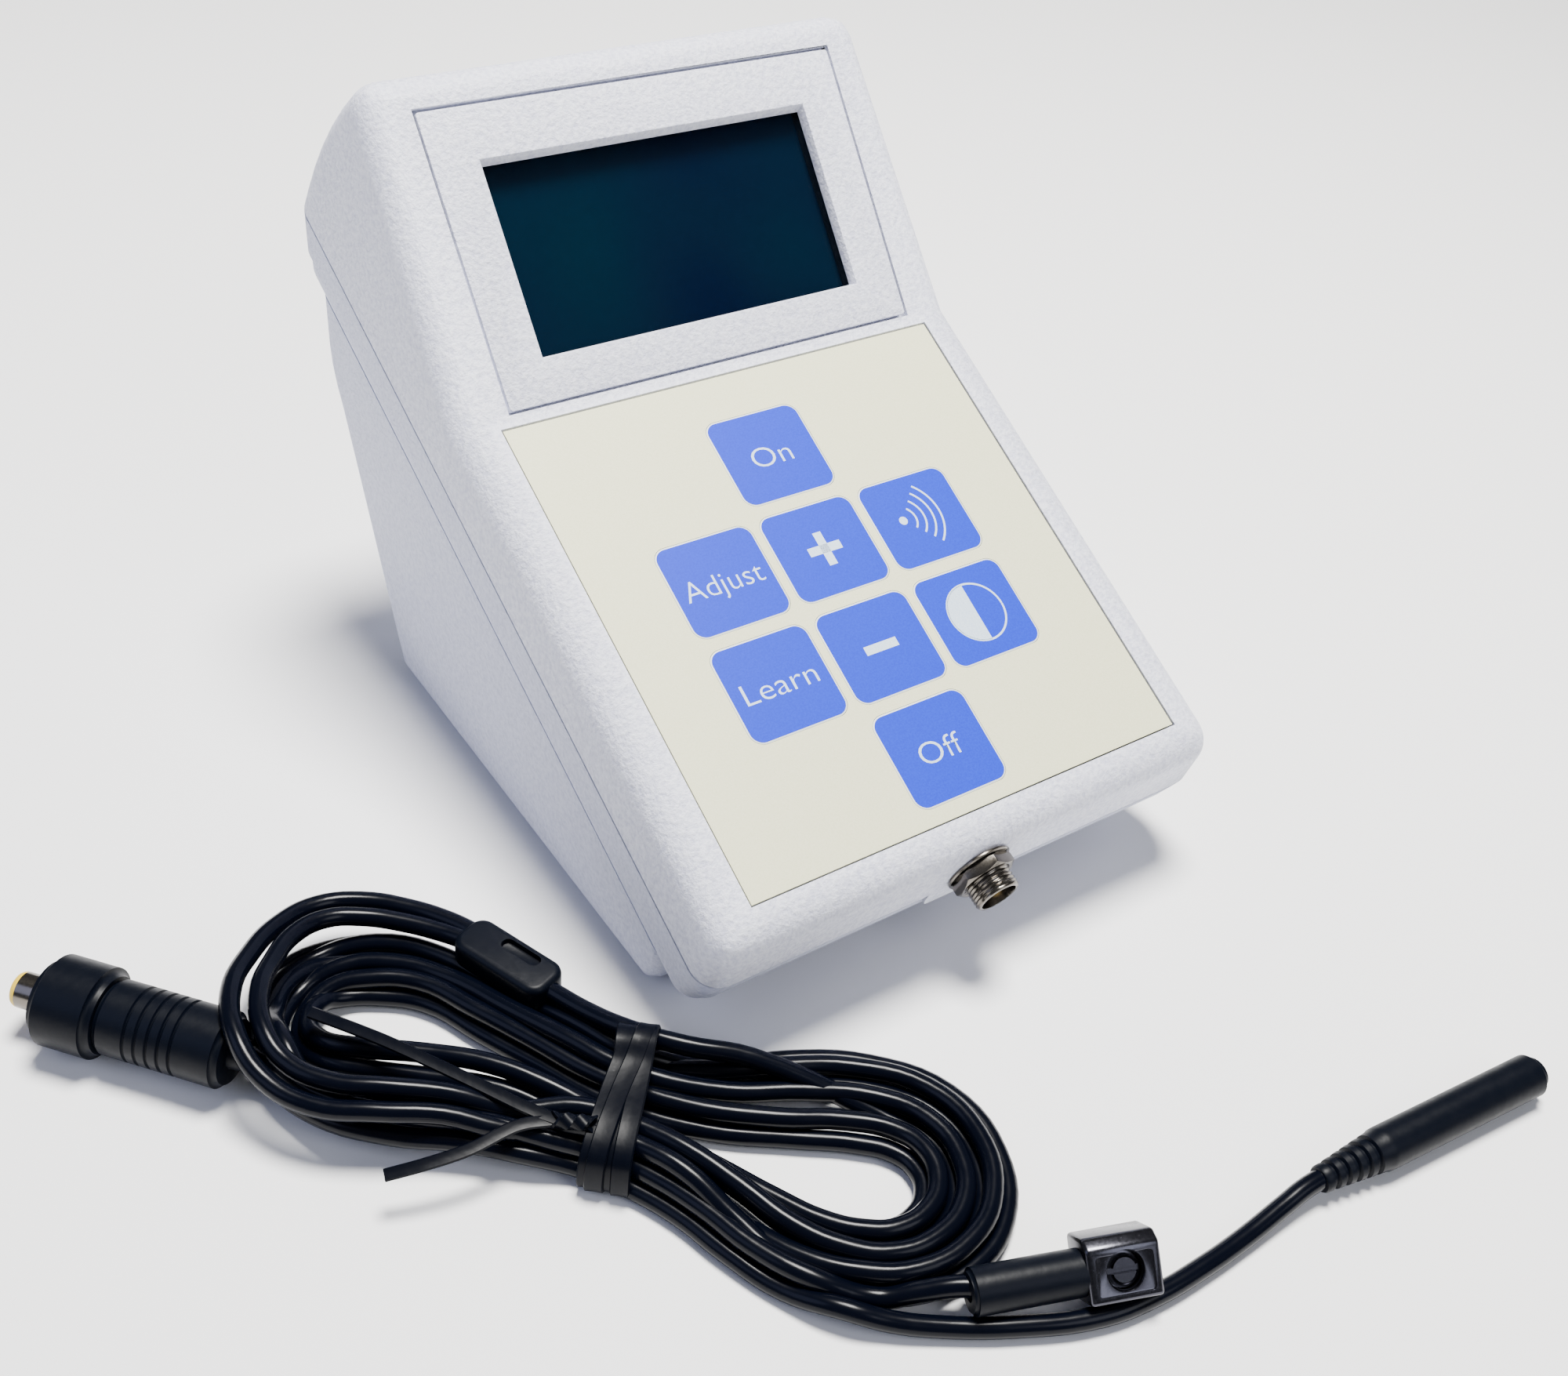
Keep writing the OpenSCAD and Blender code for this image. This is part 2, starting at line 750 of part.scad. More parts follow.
// Offset of the hank's outline from its middle line, kept to the outside of each loop
function hank_side(i) = let (n = len(HANK), a = HANK[(i + n - 1) % n], b = HANK[(i + 1) % n],
    t = (b - a) / norm(b - a)) [t.y, -t.x];

module cord_hank() {
    outline = [for (i = [0:len(HANK) - 1]) HANK[i] + hank_half_w * hank_side(i)];
    color("midnightblue") difference() {
        linear_extrude(hank_h) polygon(outline);
        on_plug() rod(boot_r + 0.1, 5, boot_end - 0.5, 64);
    }
}

module hank_tie() {
    color("black") translate([-66.5, -70.5, 0]) rotate([0, 0, 42]) difference() {
        block(7, 29, 0, hank_h + 1.6);
        block(9, 27, -over, hank_h + 0.2);
    }
}

module on_clip() {
    translate(clip_at) rotate([0, 0, clip_turn]) rotate([clip_roll, 0, 0]) children();
}

module clip_sleeve() {
    color("midnightblue") on_clip() rotate([0, 90, 0]) difference() {
        rod(3.3, -16, 0.5, 48);
        rod(cord_r, -17, -8, 32);
    }
}

module clip_block() {
    color("silver") on_clip() difference() {
        rotate([0, 90, 0]) linear_extrude(10.9)
            polygon([[-3.4, -4], [3.4, -4], [3.4, 5], [-1.8, 5], [-3.4, 3.4]]);
        translate([5.6, 0, 0]) rod(2.6, 1.2, 4.5, 48);
        rotate([0, 90, 0]) rod(1.1, 7.5, 12.5, 32);
        rotate([0, 90, 0]) rod(3.32, -over, 0.5, 48);
    }
}

module clip_screw() {
    color("silver") on_clip() translate([5.6, 0, 0]) difference() {
        rod(2.4, 1.2, 2.6, 48);
        translate([0, 0, 2.6]) cube([5, 0.9, 1.4], center = true);
    }
}

module probe_cord() {
    color("midnightblue") tube(PROBE_ROUTE, cord_r);
}

module on_probe() {
    translate(probe_at) rotate([0, 0, probe_turn]) rotate([0, 90, 0]) children();
}

module probe_handle() {
    color("midnightblue") on_probe() difference() {
        union() {
            cylinder(r1 = 2.3, r2 = 3.5, h = 12, $fn = 48);
            rod(3.55, 12 - eps, 46, 64);
        }
        for (i = [0:3]) translate([0, 0, 2.6 + 2.3 * i]) difference() {
            rod(6, 0, 0.9, 48);
            rod(2.1 + 0.25 * i, -over, 2, 48);
        }
        rod(2.2, 36, 47, 48);
    }
}

module probe_socket() {
    color("gold") on_probe() difference() {
        rod(2.2, 36, 45.4, 48);
        rod(1.05, 37.4, 47, 32);
    }
}

front_cover();
rear_shell();
display_bezel();
display_window();
lcd_frame();
lcd_glass();
lcd_board();
lcd_screws();
keypad_overlay();
keypad_spacer();
keypad_circuit();
keypad_domes();
keypad_tail();
key_on();
key_adjust();
key_plus();
key_sound();
key_learn();
key_minus();
key_contrast();
key_off();
main_board();
board_chips();
board_connectors();
board_screws();
sounder();
jack_bushing();
jack_washer();
jack_nut();
jack_body();
jack_insulator();
jack_pin();
jack_terminals();
case_screws();
rubber_feet();
battery();
battery_snap();
battery_wires();
jack_wires();
battery_door();
plug_collar();
plug_tip();
plug_barrel();
plug_boot();
cord_splitter();
plug_cord();
cord_hank();
hank_tie();
clip_sleeve();
clip_block();
clip_screw();
probe_cord();
probe_handle();
probe_socket();
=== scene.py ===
"""Looks of a desk-top apex locator and its patient lead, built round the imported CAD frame."""
import math
import random

import bmesh
import bpy
from mathutils import Matrix, Vector


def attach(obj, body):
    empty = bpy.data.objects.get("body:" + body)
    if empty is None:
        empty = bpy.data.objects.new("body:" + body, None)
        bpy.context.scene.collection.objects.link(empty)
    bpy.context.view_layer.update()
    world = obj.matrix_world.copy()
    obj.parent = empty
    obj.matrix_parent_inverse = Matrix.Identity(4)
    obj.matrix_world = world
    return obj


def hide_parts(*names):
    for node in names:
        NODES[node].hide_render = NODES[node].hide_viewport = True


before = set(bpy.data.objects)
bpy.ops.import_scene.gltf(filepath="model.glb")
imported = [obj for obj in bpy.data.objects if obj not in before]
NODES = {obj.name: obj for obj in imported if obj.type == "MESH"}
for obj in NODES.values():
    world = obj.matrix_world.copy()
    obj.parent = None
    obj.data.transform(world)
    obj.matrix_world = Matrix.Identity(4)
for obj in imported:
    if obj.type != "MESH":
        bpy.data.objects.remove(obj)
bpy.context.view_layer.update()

MM = 0.001
SMOOTH_BELOW = math.radians(38)


# ---- Frames, in millimetres -------------------------------------------------

def turn(degrees, axis):
    return Matrix.Rotation(math.radians(degrees), 4, axis)


FRONT_LEAN = math.radians(8)
FACE_LEN = 94.2
SOCKET_DROP = 8.5
TABLE = Matrix.Identity(4)
KNEE = Matrix.Translation((0, 15.3, 68.7))
KEYPAD = KNEE @ turn(26, "X")
DISPLAY = KNEE @ turn(50, "X")
SOCKET = (KEYPAD @ Matrix.Translation((0, -FACE_LEN - SOCKET_DROP * math.tan(FRONT_LEAN), -SOCKET_DROP))
          @ turn(82, "X"))
PLUG = Matrix.Translation((-130.4, -10.7, 7)) @ turn(-50, "Z") @ turn(90, "Y")
SPLITTER = Matrix.Translation((-69.2, -38.6, 7.2)) @ turn(-69, "Z")
CLIP = Matrix.Translation((-26.8, -125.3, 5.4)) @ turn(-20, "Z") @ turn(45, "X")
PROBE = Matrix.Translation((15.2, -131.6, 3.6)) @ turn(-5, "Z") @ turn(90, "Y")


# ---- Modelling by hand ------------------------------------------------------

def put_down():
    """Leaves edit mode and selects nothing."""
    if bpy.context.object and bpy.context.object.mode != "OBJECT":
        bpy.ops.object.mode_set(mode="OBJECT")
    bpy.ops.object.select_all(action="DESELECT")


def take(piece):
    put_down()
    piece.select_set(True)
    bpy.context.view_layer.objects.active = piece
    return piece


def started(name):
    piece = bpy.context.object
    piece.name = name
    piece.data.name = name
    return piece


def pick(kind, test):
    """In edit mode, selects the faces, edges or vertices that pass the test."""
    bpy.ops.mesh.select_mode(type=kind)
    bpy.ops.mesh.select_all(action="DESELECT")
    mesh = bmesh.from_edit_mesh(bpy.context.object.data)
    for item in {"FACE": mesh.faces, "EDGE": mesh.edges, "VERT": mesh.verts}[kind]:
        if test(item):
            item.select_set(True)
    mesh.select_flush_mode()
    bmesh.update_edit_mesh(bpy.context.object.data)


def outward(piece):
    """Turns every face to look outwards."""
    take(piece)
    bpy.ops.object.mode_set(mode="EDIT")
    bpy.ops.mesh.select_all(action="SELECT")
    bpy.ops.mesh.normals_make_consistent(inside=False)
    put_down()
    return piece


def soften(piece, width, segments=3, angle=40):
    """Rounds every edge sharper than the angle."""
    take(piece)
    bevel = piece.modifiers.new("edges", "BEVEL")
    bevel.width = width
    bevel.segments = segments
    bevel.limit_method = "ANGLE"
    bevel.angle_limit = math.radians(angle)
    bpy.ops.object.modifier_apply(modifier=bevel.name)
    return piece


def block(name, low, high):
    """A box between two corners."""
    put_down()
    middle = [(a + b) / 2 for a, b in zip(low, high)]
    size = [b - a for a, b in zip(low, high)]
    bpy.ops.mesh.primitive_cube_add(size=1, location=middle, scale=size)
    piece = started(name)
    bpy.ops.object.transform_apply(location=True, rotation=True, scale=True)
    return piece


def slab(name, width, height, low, high, corner, centre=(0, 0), segments=8):
    """A plate with round corners, lying in XY."""
    piece = block(name, (centre[0] - width / 2, centre[1] - height / 2, low),
                  (centre[0] + width / 2, centre[1] + height / 2, high))
    bpy.ops.object.mode_set(mode="EDIT")
    pick("EDGE", lambda e: abs(e.verts[0].co.z - e.verts[1].co.z) > 1e-6)
    bpy.ops.mesh.bevel(offset=corner, segments=segments, affect="EDGES")
    put_down()
    return piece


def turned(name, profile, sides=64):
    """A solid turned on a lathe: the profile is radius and height, from the first face to the last."""
    put_down()
    radius, height = profile[0]
    bpy.ops.mesh.primitive_circle_add(vertices=sides, radius=radius, fill_type="NGON", location=(0, 0, height))
    piece = started(name)
    bpy.ops.object.transform_apply(location=True, rotation=True, scale=True)
    bpy.ops.object.mode_set(mode="EDIT")
    bpy.ops.mesh.select_mode(type="FACE")
    bpy.ops.mesh.select_all(action="SELECT")
    for next_radius, next_height in profile[1:]:
        bpy.ops.mesh.extrude_region_move(TRANSFORM_OT_translate={"value": (0, 0, next_height - height)})
        grow = next_radius / radius
        bpy.ops.transform.resize(value=(grow, grow, 1))
        radius, height = next_radius, next_height
    bpy.ops.mesh.select_all(action="SELECT")
    bpy.ops.mesh.normals_make_consistent(inside=False)
    put_down()
    return piece


def rounded(start, end, radius_first, steps=5):
    """Profile points of a quarter curve between two (radius, height) pairs, setting out along either."""
    (r0, h0), (r1, h1) = start, end
    points = []
    for i in range(steps + 1):
        a = math.pi / 2 * i / steps
        if radius_first:
            points.append((r0 + (r1 - r0) * math.sin(a), h0 + (h1 - h0) * (1 - math.cos(a))))
        else:
            points.append((r0 + (r1 - r0) * (1 - math.cos(a)), h0 + (h1 - h0) * math.sin(a)))
    return points


def prism(name, outline, low, high, plane="XY"):
    """An outline extruded: in XY it rises along Z, in YZ it runs along X."""
    put_down()
    bpy.ops.mesh.primitive_circle_add(vertices=len(outline), radius=1, fill_type="NGON")
    piece = started(name)
    for vertex, (a, b) in zip(piece.data.vertices, outline):
        vertex.co = (a, b, low) if plane == "XY" else (low, a, b)
    bpy.ops.object.mode_set(mode="EDIT")
    bpy.ops.mesh.select_all(action="SELECT")
    way = (0, 0, high - low) if plane == "XY" else (high - low, 0, 0)
    bpy.ops.mesh.extrude_region_move(TRANSFORM_OT_translate={"value": way})
    bpy.ops.mesh.select_all(action="SELECT")
    bpy.ops.mesh.normals_make_consistent(inside=False)
    put_down()
    return piece


def shift(piece, matrix):
    """Moves a piece's mesh and leaves its origin."""
    piece.data.transform(matrix)
    return piece


def boolean(piece, other, operation):
    """Combines two pieces; the second one is used up."""
    take(piece)
    change = piece.modifiers.new("cut", "BOOLEAN")
    change.operation = operation
    change.solver = "EXACT"
    change.object = other
    bpy.ops.object.modifier_apply(modifier=change.name)
    bpy.data.objects.remove(other)
    return piece


def cut(piece, *cutters):
    for cutter in cutters:
        boolean(piece, cutter, "DIFFERENCE")
    return piece


def join(piece, *others):
    take(piece)
    for other in others:
        other.select_set(True)
    bpy.ops.object.join()
    return piece


def paint(piece, *materials):
    piece.data.materials.clear()
    for material in materials:
        piece.data.materials.append(material)
    return piece


def settle(piece, place, material, body, stands_for=(), smooth=SMOOTH_BELOW):
    """Bakes a finished piece into the object's own frame, in metres, and hangs it on its body."""
    take(piece)
    if piece.type == "MESH":
        bpy.ops.object.shade_smooth_by_angle(angle=smooth)
    piece.data.transform(Matrix.Scale(MM, 4) @ place)
    if material:
        paint(piece, material)
    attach(piece, body)
    if stands_for:
        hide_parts(*stands_for)
    put_down()
    return piece


# ---- Materials --------------------------------------------------------------

def rgb(hex_code):
    """An sRGB hex colour as linear RGBA."""
    parts = [int(hex_code[i:i + 2], 16) / 255 for i in (0, 2, 4)]
    return [c / 12.92 if c <= 0.04045 else ((c + 0.055) / 1.055) ** 2.4 for c in parts] + [1]


def add(material, kind, settings=None, links=None):
    """Adds a node; settings go by socket or attribute name, links map an input to an output socket."""
    tree = material.node_tree
    node = tree.nodes.new(kind)
    for key, value in (settings or {}).items():
        if key in node.inputs:
            node.inputs[key].default_value = value
        else:
            setattr(node, key, value)
    for key, output in (links or {}).items():
        tree.links.new(output, node.inputs[key])
    return node


def surface(name, colour, roughness, **settings):
    """A new material: the shader with its plain values set on its own sockets."""
    material = bpy.data.materials.new(name)
    material.use_nodes = True
    shader = material.node_tree.nodes["Principled BSDF"]
    shader.inputs["Base Color"].default_value = rgb(colour)
    shader.inputs["Roughness"].default_value = roughness
    for key, value in settings.items():
        shader.inputs[key.replace("_", " ")].default_value = value
    return material, shader


def grain(material, size_mm, detail=2.0, roughness=0.5):
    """Noise with lumps of the given size."""
    place = add(material, "ShaderNodeTexCoord")
    return add(material, "ShaderNodeTexNoise",
               {"Scale": 1 / (size_mm * MM), "Detail": detail, "Roughness": roughness},
               {"Vector": place.outputs["Object"]})


def shade_of(material, shader, noise, low, high, start=0.35, end=0.65):
    """Colours the surface between two hex colours by a noise."""
    ramp = add(material, "ShaderNodeValToRGB", links={"Fac": noise.outputs["Fac"]})
    ramp.color_ramp.elements[0].position = start
    ramp.color_ramp.elements[0].color = rgb(low)
    ramp.color_ramp.elements[1].position = end
    ramp.color_ramp.elements[1].color = rgb(high)
    material.node_tree.links.new(ramp.outputs["Color"], shader.inputs["Base Color"])


def rough_by(material, shader, noise, low, high):
    spread = add(material, "ShaderNodeMapRange", {"To Min": low, "To Max": high},
                 {"Value": noise.outputs["Fac"]})
    material.node_tree.links.new(spread.outputs["Result"], shader.inputs["Roughness"])


def bump(material, shader, height, depth_mm, strength=1.0):
    """Raises the surface by a height output, up to the given depth."""
    node = add(material, "ShaderNodeBump", {"Strength": strength, "Distance": depth_mm * MM},
               {"Height": height})
    material.node_tree.links.new(node.outputs["Normal"], shader.inputs["Normal"])


def textured_abs(name, dark, light):
    # ABS from a spark-eroded mould: a pebbled grain near 0.9 mm that breaks up the shine, with pale sparkle
    material, shader = surface(name, light, 0.5, IOR=1.53)
    pebble = grain(material, 0.85, 3.0, 0.62)
    shade_of(material, shader, pebble, dark, light, 0.3, 0.62)
    rough_by(material, shader, pebble, 0.42, 0.62)
    bump(material, shader, pebble.outputs["Fac"], 0.3, 1.0)
    return material


cover_abs = textured_abs("moulded_abs_pale", "C4C6DA", "E4E6F2")
shell_abs = textured_abs("moulded_abs_grey", "B4B8D0", "CDD0E2")


def film(name, dark, light, roughness, shine=0.5):
    # Printed polyester film: its fine matt texture, near 0.3 mm, scatters the lamp's reflection
    material, shader = surface(name, light, roughness, IOR=1.57, Specular_IOR_Level=shine)
    tooth = grain(material, 0.3, 2.0)
    shade_of(material, shader, tooth, dark, light)
    bump(material, shader, tooth.outputs["Fac"], 0.02, 0.4)
    return material


label_film = film("polyester_film_cream", "DCDCB6", "E2E1BF", 0.5, 0.25)
key_film = film("polyester_film_blue", "0228C2", "0530CC", 0.5, 0.15)
legend_ink = film("screen_ink_pale", "BFD2E6", "CBDCEB", 0.5)
rim_film = film("polyester_film_edge", "CFD6DA", "D8DEDC", 0.5)


def glossy_vinyl(name, colour, roughness, lump_mm=4.0, shine=0.5):
    # Soft PVC, extruded or moulded: a dark sheen that wavers slowly along the surface
    material, shader = surface(name, colour, roughness, IOR=1.53, Specular_IOR_Level=shine)
    wave = grain(material, lump_mm, 2.0)
    rough_by(material, shader, wave, roughness - 0.06, roughness + 0.1)
    bump(material, shader, wave.outputs["Fac"], 0.12, 0.25)
    return material


cord_pvc = glossy_vinyl("extruded_pvc_navy", "03050E", 0.2, shine=0.12)
grip_pvc = glossy_vinyl("moulded_pvc_navy", "03060F", 0.38, 1.5, shine=0.1)
tie_pvc = glossy_vinyl("tie_strip_pvc", "04060E", 0.3, 2.0, shine=0.08)


def nickel_plate(name, colour, roughness, scratch_mm=0.25):
    # Nickel plate on turned brass: warm grey mirror, with fine tool marks that blur its highlights
    material, shader = surface(name, colour, roughness, Metallic=1.0)
    marks = grain(material, scratch_mm, 3.0, 0.6)
    rough_by(material, shader, marks, roughness - 0.06, roughness + 0.14)
    bump(material, shader, marks.outputs["Fac"], 0.01, 0.3)
    return material


nickel = nickel_plate("nickel_plate", "6E6962", 0.18)
# The clip's block and screw: nickel colour darkened to a blue-grey, a painted reflection of dark surroundings over the
# metal's own grey
clip_nickel_painted_dark = nickel_plate("cast_nickel_painted_dark_reflection", "45454C", 0.2, 0.5)
steel = nickel_plate("zinc_plated_steel", "BFC2C4", 0.3)
brass = nickel_plate("contact_brass", "D8BC78", 0.25)

# Black and white moulded plastics of the inside parts: satin, with a slight grain
black_abs, _ = surface("moulded_plastic_black", "1C1C1F", 0.45, IOR=1.5)
white_nylon, _ = surface("nylon_white", "D8D4C6", 0.5, IOR=1.53)
yellow_nylon, _ = surface("nylon_yellow", "D9B62C", 0.4, IOR=1.53)
foot_rubber, _ = surface("moulded_rubber_black", "1A1A1C", 0.75, IOR=1.52)
wire_pvc, _ = surface("wire_pvc_red", "A01C1C", 0.4, IOR=1.53)
ribbon_film, _ = surface("polyimide_film", "A9742A", 0.35, IOR=1.7)
spacer_film, _ = surface("clear_spacer_film", "D2D3CC", 0.4, IOR=1.57)
battery_jacket, _ = surface("battery_jacket", "23262B", 0.35, IOR=1.5)
for plain, lump in ((black_abs, 0.6), (white_nylon, 0.8), (yellow_nylon, 0.8), (foot_rubber, 0.5),
                    (wire_pvc, 1.5), (ribbon_film, 2.0), (spacer_film, 1.0), (battery_jacket, 1.0)):
    shader = plain.node_tree.nodes["Principled BSDF"]
    bump(plain, shader, grain(plain, lump).outputs["Fac"], 0.03, 0.3)


def solder_mask():
    # Fibreglass board under green lacquer: a faint weave near 0.6 mm shows through the gloss
    material, shader = surface("solder_mask_green", "1F5A36", 0.3, IOR=1.5)
    place = add(material, "ShaderNodeTexCoord")
    weave = add(material, "ShaderNodeTexWave", {"Scale": 1 / (0.6 * MM) / 6, "Distortion": 0.5},
                {"Vector": place.outputs["Object"]})
    shade_of(material, shader, weave, "1A5030", "236240", 0.2, 0.8)
    bump(material, shader, weave.outputs["Fac"], 0.02, 0.3)
    return material


board_mask = solder_mask()


def display_glass():
    # Smoked acrylic window: near black, but it lets the panel behind show through
    material, shader = surface("acrylic_window", "040A14", 0.08, IOR=1.49, Alpha=0.35, Specular_IOR_Level=0.2)
    haze = grain(material, 6.0)
    rough_by(material, shader, haze, 0.05, 0.12)
    return material


def dark_panel():
    # Liquid-crystal panel at rest behind its polariser: blue-black, a little greener to one side
    material, shader = surface("lcd_polariser", "08202A", 0.3, IOR=1.5, Specular_IOR_Level=0.1)
    drift = grain(material, 40.0, 1.0)
    shade_of(material, shader, drift, "041C46", "0A3A50", 0.3, 0.7)
    return material


window_glass = display_glass()
panel_dark = dark_panel()


# ---- Camera, light and floor ------------------------------------------------

def look(position, forward, up):
    """The placing of a camera or lamp at a position in mm, facing a way."""
    forward, up = Vector(forward).normalized(), Vector(up).normalized()
    right = forward.cross(up).normalized()
    up = right.cross(forward)
    turn_to = Matrix((right, up, -forward)).transposed().to_4x4()
    return Matrix.Translation(Vector(position) * MM) @ turn_to


put_down()
bpy.ops.object.camera_add()
camera = started("camera")
camera.data.lens = 40.0
camera.data.sensor_width = 36.0
camera.matrix_world = look((-149.4, -204.5, 214.15), (0.47536, 0.61404, -0.63007), (0.30125, 0.55927, 0.77231))
camera.data.clip_start = 0.01
bpy.context.scene.camera = camera


def lamp(name, position, target, size, power, colour):
    """A round soft lamp, size in mm and power in watts."""
    put_down()
    bpy.ops.object.light_add(type="AREA")
    light = started(name)
    way = Vector(target) - Vector(position)
    light.matrix_world = look(position, way, (0, 0, 1))
    light.data.shape = "DISK"
    light.data.size = size * MM
    light.data.energy = power
    light.data.color = rgb(colour)[:3]


lamp("soft_top", (110, 60, 960), (0, 0, 40), 340, 31.0, "FFFDF8")
lamp("soft_side", (-700, 100, 500), (0, 0, 40), 600, 1.6, "C8D2FF")
lamp("soft_front", (160, -760, 620), (0, 0, 40), 500, 2.5, "F2F5FF")
world = bpy.data.worlds.new("studio")
world.use_nodes = True
world.node_tree.nodes["Background"].inputs["Color"].default_value = rgb("E9ECF4")
world.node_tree.nodes["Background"].inputs["Strength"].default_value = 0.17
bpy.context.scene.world = world

put_down()
bpy.ops.mesh.primitive_plane_add(size=6)
floor = started("floor")
floor_paper, _ = surface("studio_paper", "F7F7F8", 0.85)
paint(floor, floor_paper)


# ---- The lead's cords -------------------------------------------------------

CORD_D = 3.1
CORD_R = CORD_D / 2
TABLE_GAP = 0.26     # keeps a cord off the table where its curve swings below its points
# Middle line of the tied turns, half the bundle's width there, and how many turns lie side by side
LOOP = [
    (-103, -35.8, 6.4, 9), (-100.8, -43.6, 7.4, 9), (-92.6, -51.4, 8.6, 9), (-84, -58.4, 8.3, 9),
    (-76.6, -66.2, 7.2, 9), (-70.2, -73.2, 6.0, 9), (-65.4, -81.0, 6.1, 9), (-61.2, -90.2, 6.8, 9),
    (-57.6, -99.4, 7.2, 9), (-52.6, -106.4, 7.5, 9), (-45.5, -110.4, 7.2, 8), (-37.4, -110.0, 6.8, 7),
    (-30.6, -105.8, 7.3, 7), (-27.6, -97.3, 7.9, 7), (-30.6, -88.6, 8.8, 7), (-39.4, -81.2, 8.8, 7),
    (-50.4, -75.2, 7.6, 7), (-62.4, -65.5, 5.3, 7), (-68.6, -53.8, 5.2, 7), (-73.2, -43, 5.7, 7),
    (-78.6, -31.6, 6.3, 7), (-86.6, -24.8, 7, 7), (-94.6, -23.2, 7.0, 8), (-100.8, -27.8, 6.6, 9)]
STEPS = len(LOOP)


def curve_at(values, step):
    """A smooth closed run of values, and its slope, at a step between them."""
    i = math.floor(step)
    t = step - i
    p = [Vector(values[(i + k) % STEPS]) for k in (-1, 0, 1, 2)]
    a = p[1] * 2
    b = p[2] - p[0]
    c = p[0] * 2 - p[1] * 5 + p[2] * 4 - p[3]
    d = p[1] * 3 - p[0] - p[2] * 3 + p[3]
    return (a + b * t + c * t * t + d * t ** 3) / 2, (b + 2 * c * t + 3 * d * t * t) / 2


def ease(x):
    """A smooth step from 0 to 1."""
    x = min(max(x, 0), 1)
    return x * x * (3 - 2 * x)


RIDE_UP = 3.0


def lifted(step):
    """The plug's cord passes under the turns here, so they ride over it."""
    s = step % STEPS
    if s > STEPS - 2:
        s -= STEPS
    return RIDE_UP * ease((s + 1.2) / 2.2) * (1 - ease((s - 3.2) / 1.9))


# Where up to twelve turns lie when the tie squeezes them into three layers: across in cord radii, and the layer
PILED = [(0, 0), (1, 1), (2, 0), (2, 2), (3, 1), (4, 0), (4, 2), (5, 1), (6, 0), (6, 2), (7, 1), (8, 0)]
LAYER = CORD_D * math.sin(math.radians(60))


def turn_point(step, slot):
    """Where a turn in the given slot lies: in two layers where there is room, else piled in three."""
    here, way = curve_at(LOOP, step)
    out = Vector((way.y, -way.x)).normalized()
    span = 2 * here.z - CORD_D
    pairs = here.w / 2
    pitch = max((span - CORD_R) / (pairs - 1), CORD_D)
    lean = CORD_R
    if pitch > 1.5 * CORD_D:
        lean = min(CORD_D, CORD_R + (pitch - 1.5 * CORD_D))
        pitch = (span - lean) / (pairs - 1)
    pitch = min(pitch, 2 * CORD_D)
    rise = math.sqrt(max(CORD_D ** 2 - lean ** 2, 0))
    wide = (pairs - 1) * CORD_D + CORD_R
    narrow = PILED[round(here.w) - 1][0] * CORD_R
    piled = ease((wide - span) / (wide - narrow))

    def spot(s):
        across = (s // 2) * pitch + (s % 2) * lean - ((pairs - 1) * pitch + lean) / 2
        high = (s % 2) * rise
        far, layer = PILED[s]
        across += piled * (far * CORD_R - narrow / 2 - across)
        high += piled * (layer * LAYER - high)
        return Vector((here.x + out.x * across, here.y + out.y * across, CORD_R + high + lifted(step)))

    low = math.floor(slot)
    return spot(low).lerp(spot(low + 1), slot - low)


def wound(first, last, slot_at, wander, seed):
    """Points along the turns between two steps, about a centimetre apart, with a slight wander."""
    random.seed(seed)
    phase = [random.uniform(0, math.tau) for _ in range(3)]
    points = []
    count = round((last - first) / 0.9)
    for i in range(count + 1):
        step = first + (last - first) * i / count
        point = turn_point(step, slot_at(step))
        sway = sum(math.sin(step * rate + shift) for rate, shift in zip((0.31, 0.57, 0.83), phase)) / 3
        way = curve_at(LOOP, step)[1]
        out = Vector((way.y, -way.x, 0)).normalized()
        points.append(point + out * wander * sway)
    return points


def cord(name, points):
    """One round cord through the points, in mm."""
    data = bpy.data.curves.new(name, "CURVE")
    data.dimensions = "3D"
    data.bevel_depth = CORD_R * MM
    data.bevel_resolution = 4
    data.resolution_u = 5
    data.use_fill_caps = True
    line = data.splines.new("BEZIER")
    line.bezier_points.add(len(points) - 1)
    for knot, point in zip(line.bezier_points, points):
        knot.co = (Vector(point) + Vector((0, 0, TABLE_GAP))) * MM
        knot.handle_left_type = knot.handle_right_type = "AUTO"
    piece = bpy.data.objects.new(name, data)
    bpy.context.scene.collection.objects.link(piece)
    paint(piece, cord_pvc)
    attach(piece, "lead")
    return piece


SHIFT_STEPS = 3.2     # the last stretch of each turn, where it moves out into the next slot


def shifting(first_slot, by):
    """The slot at each step, for a cord that moves out by some slots with every turn."""
    def slot_at(step):
        done, along = divmod(step, STEPS)
        return first_slot + by * (done + ease((along - STEPS + SHIFT_STEPS) / SHIFT_STEPS))
    return slot_at


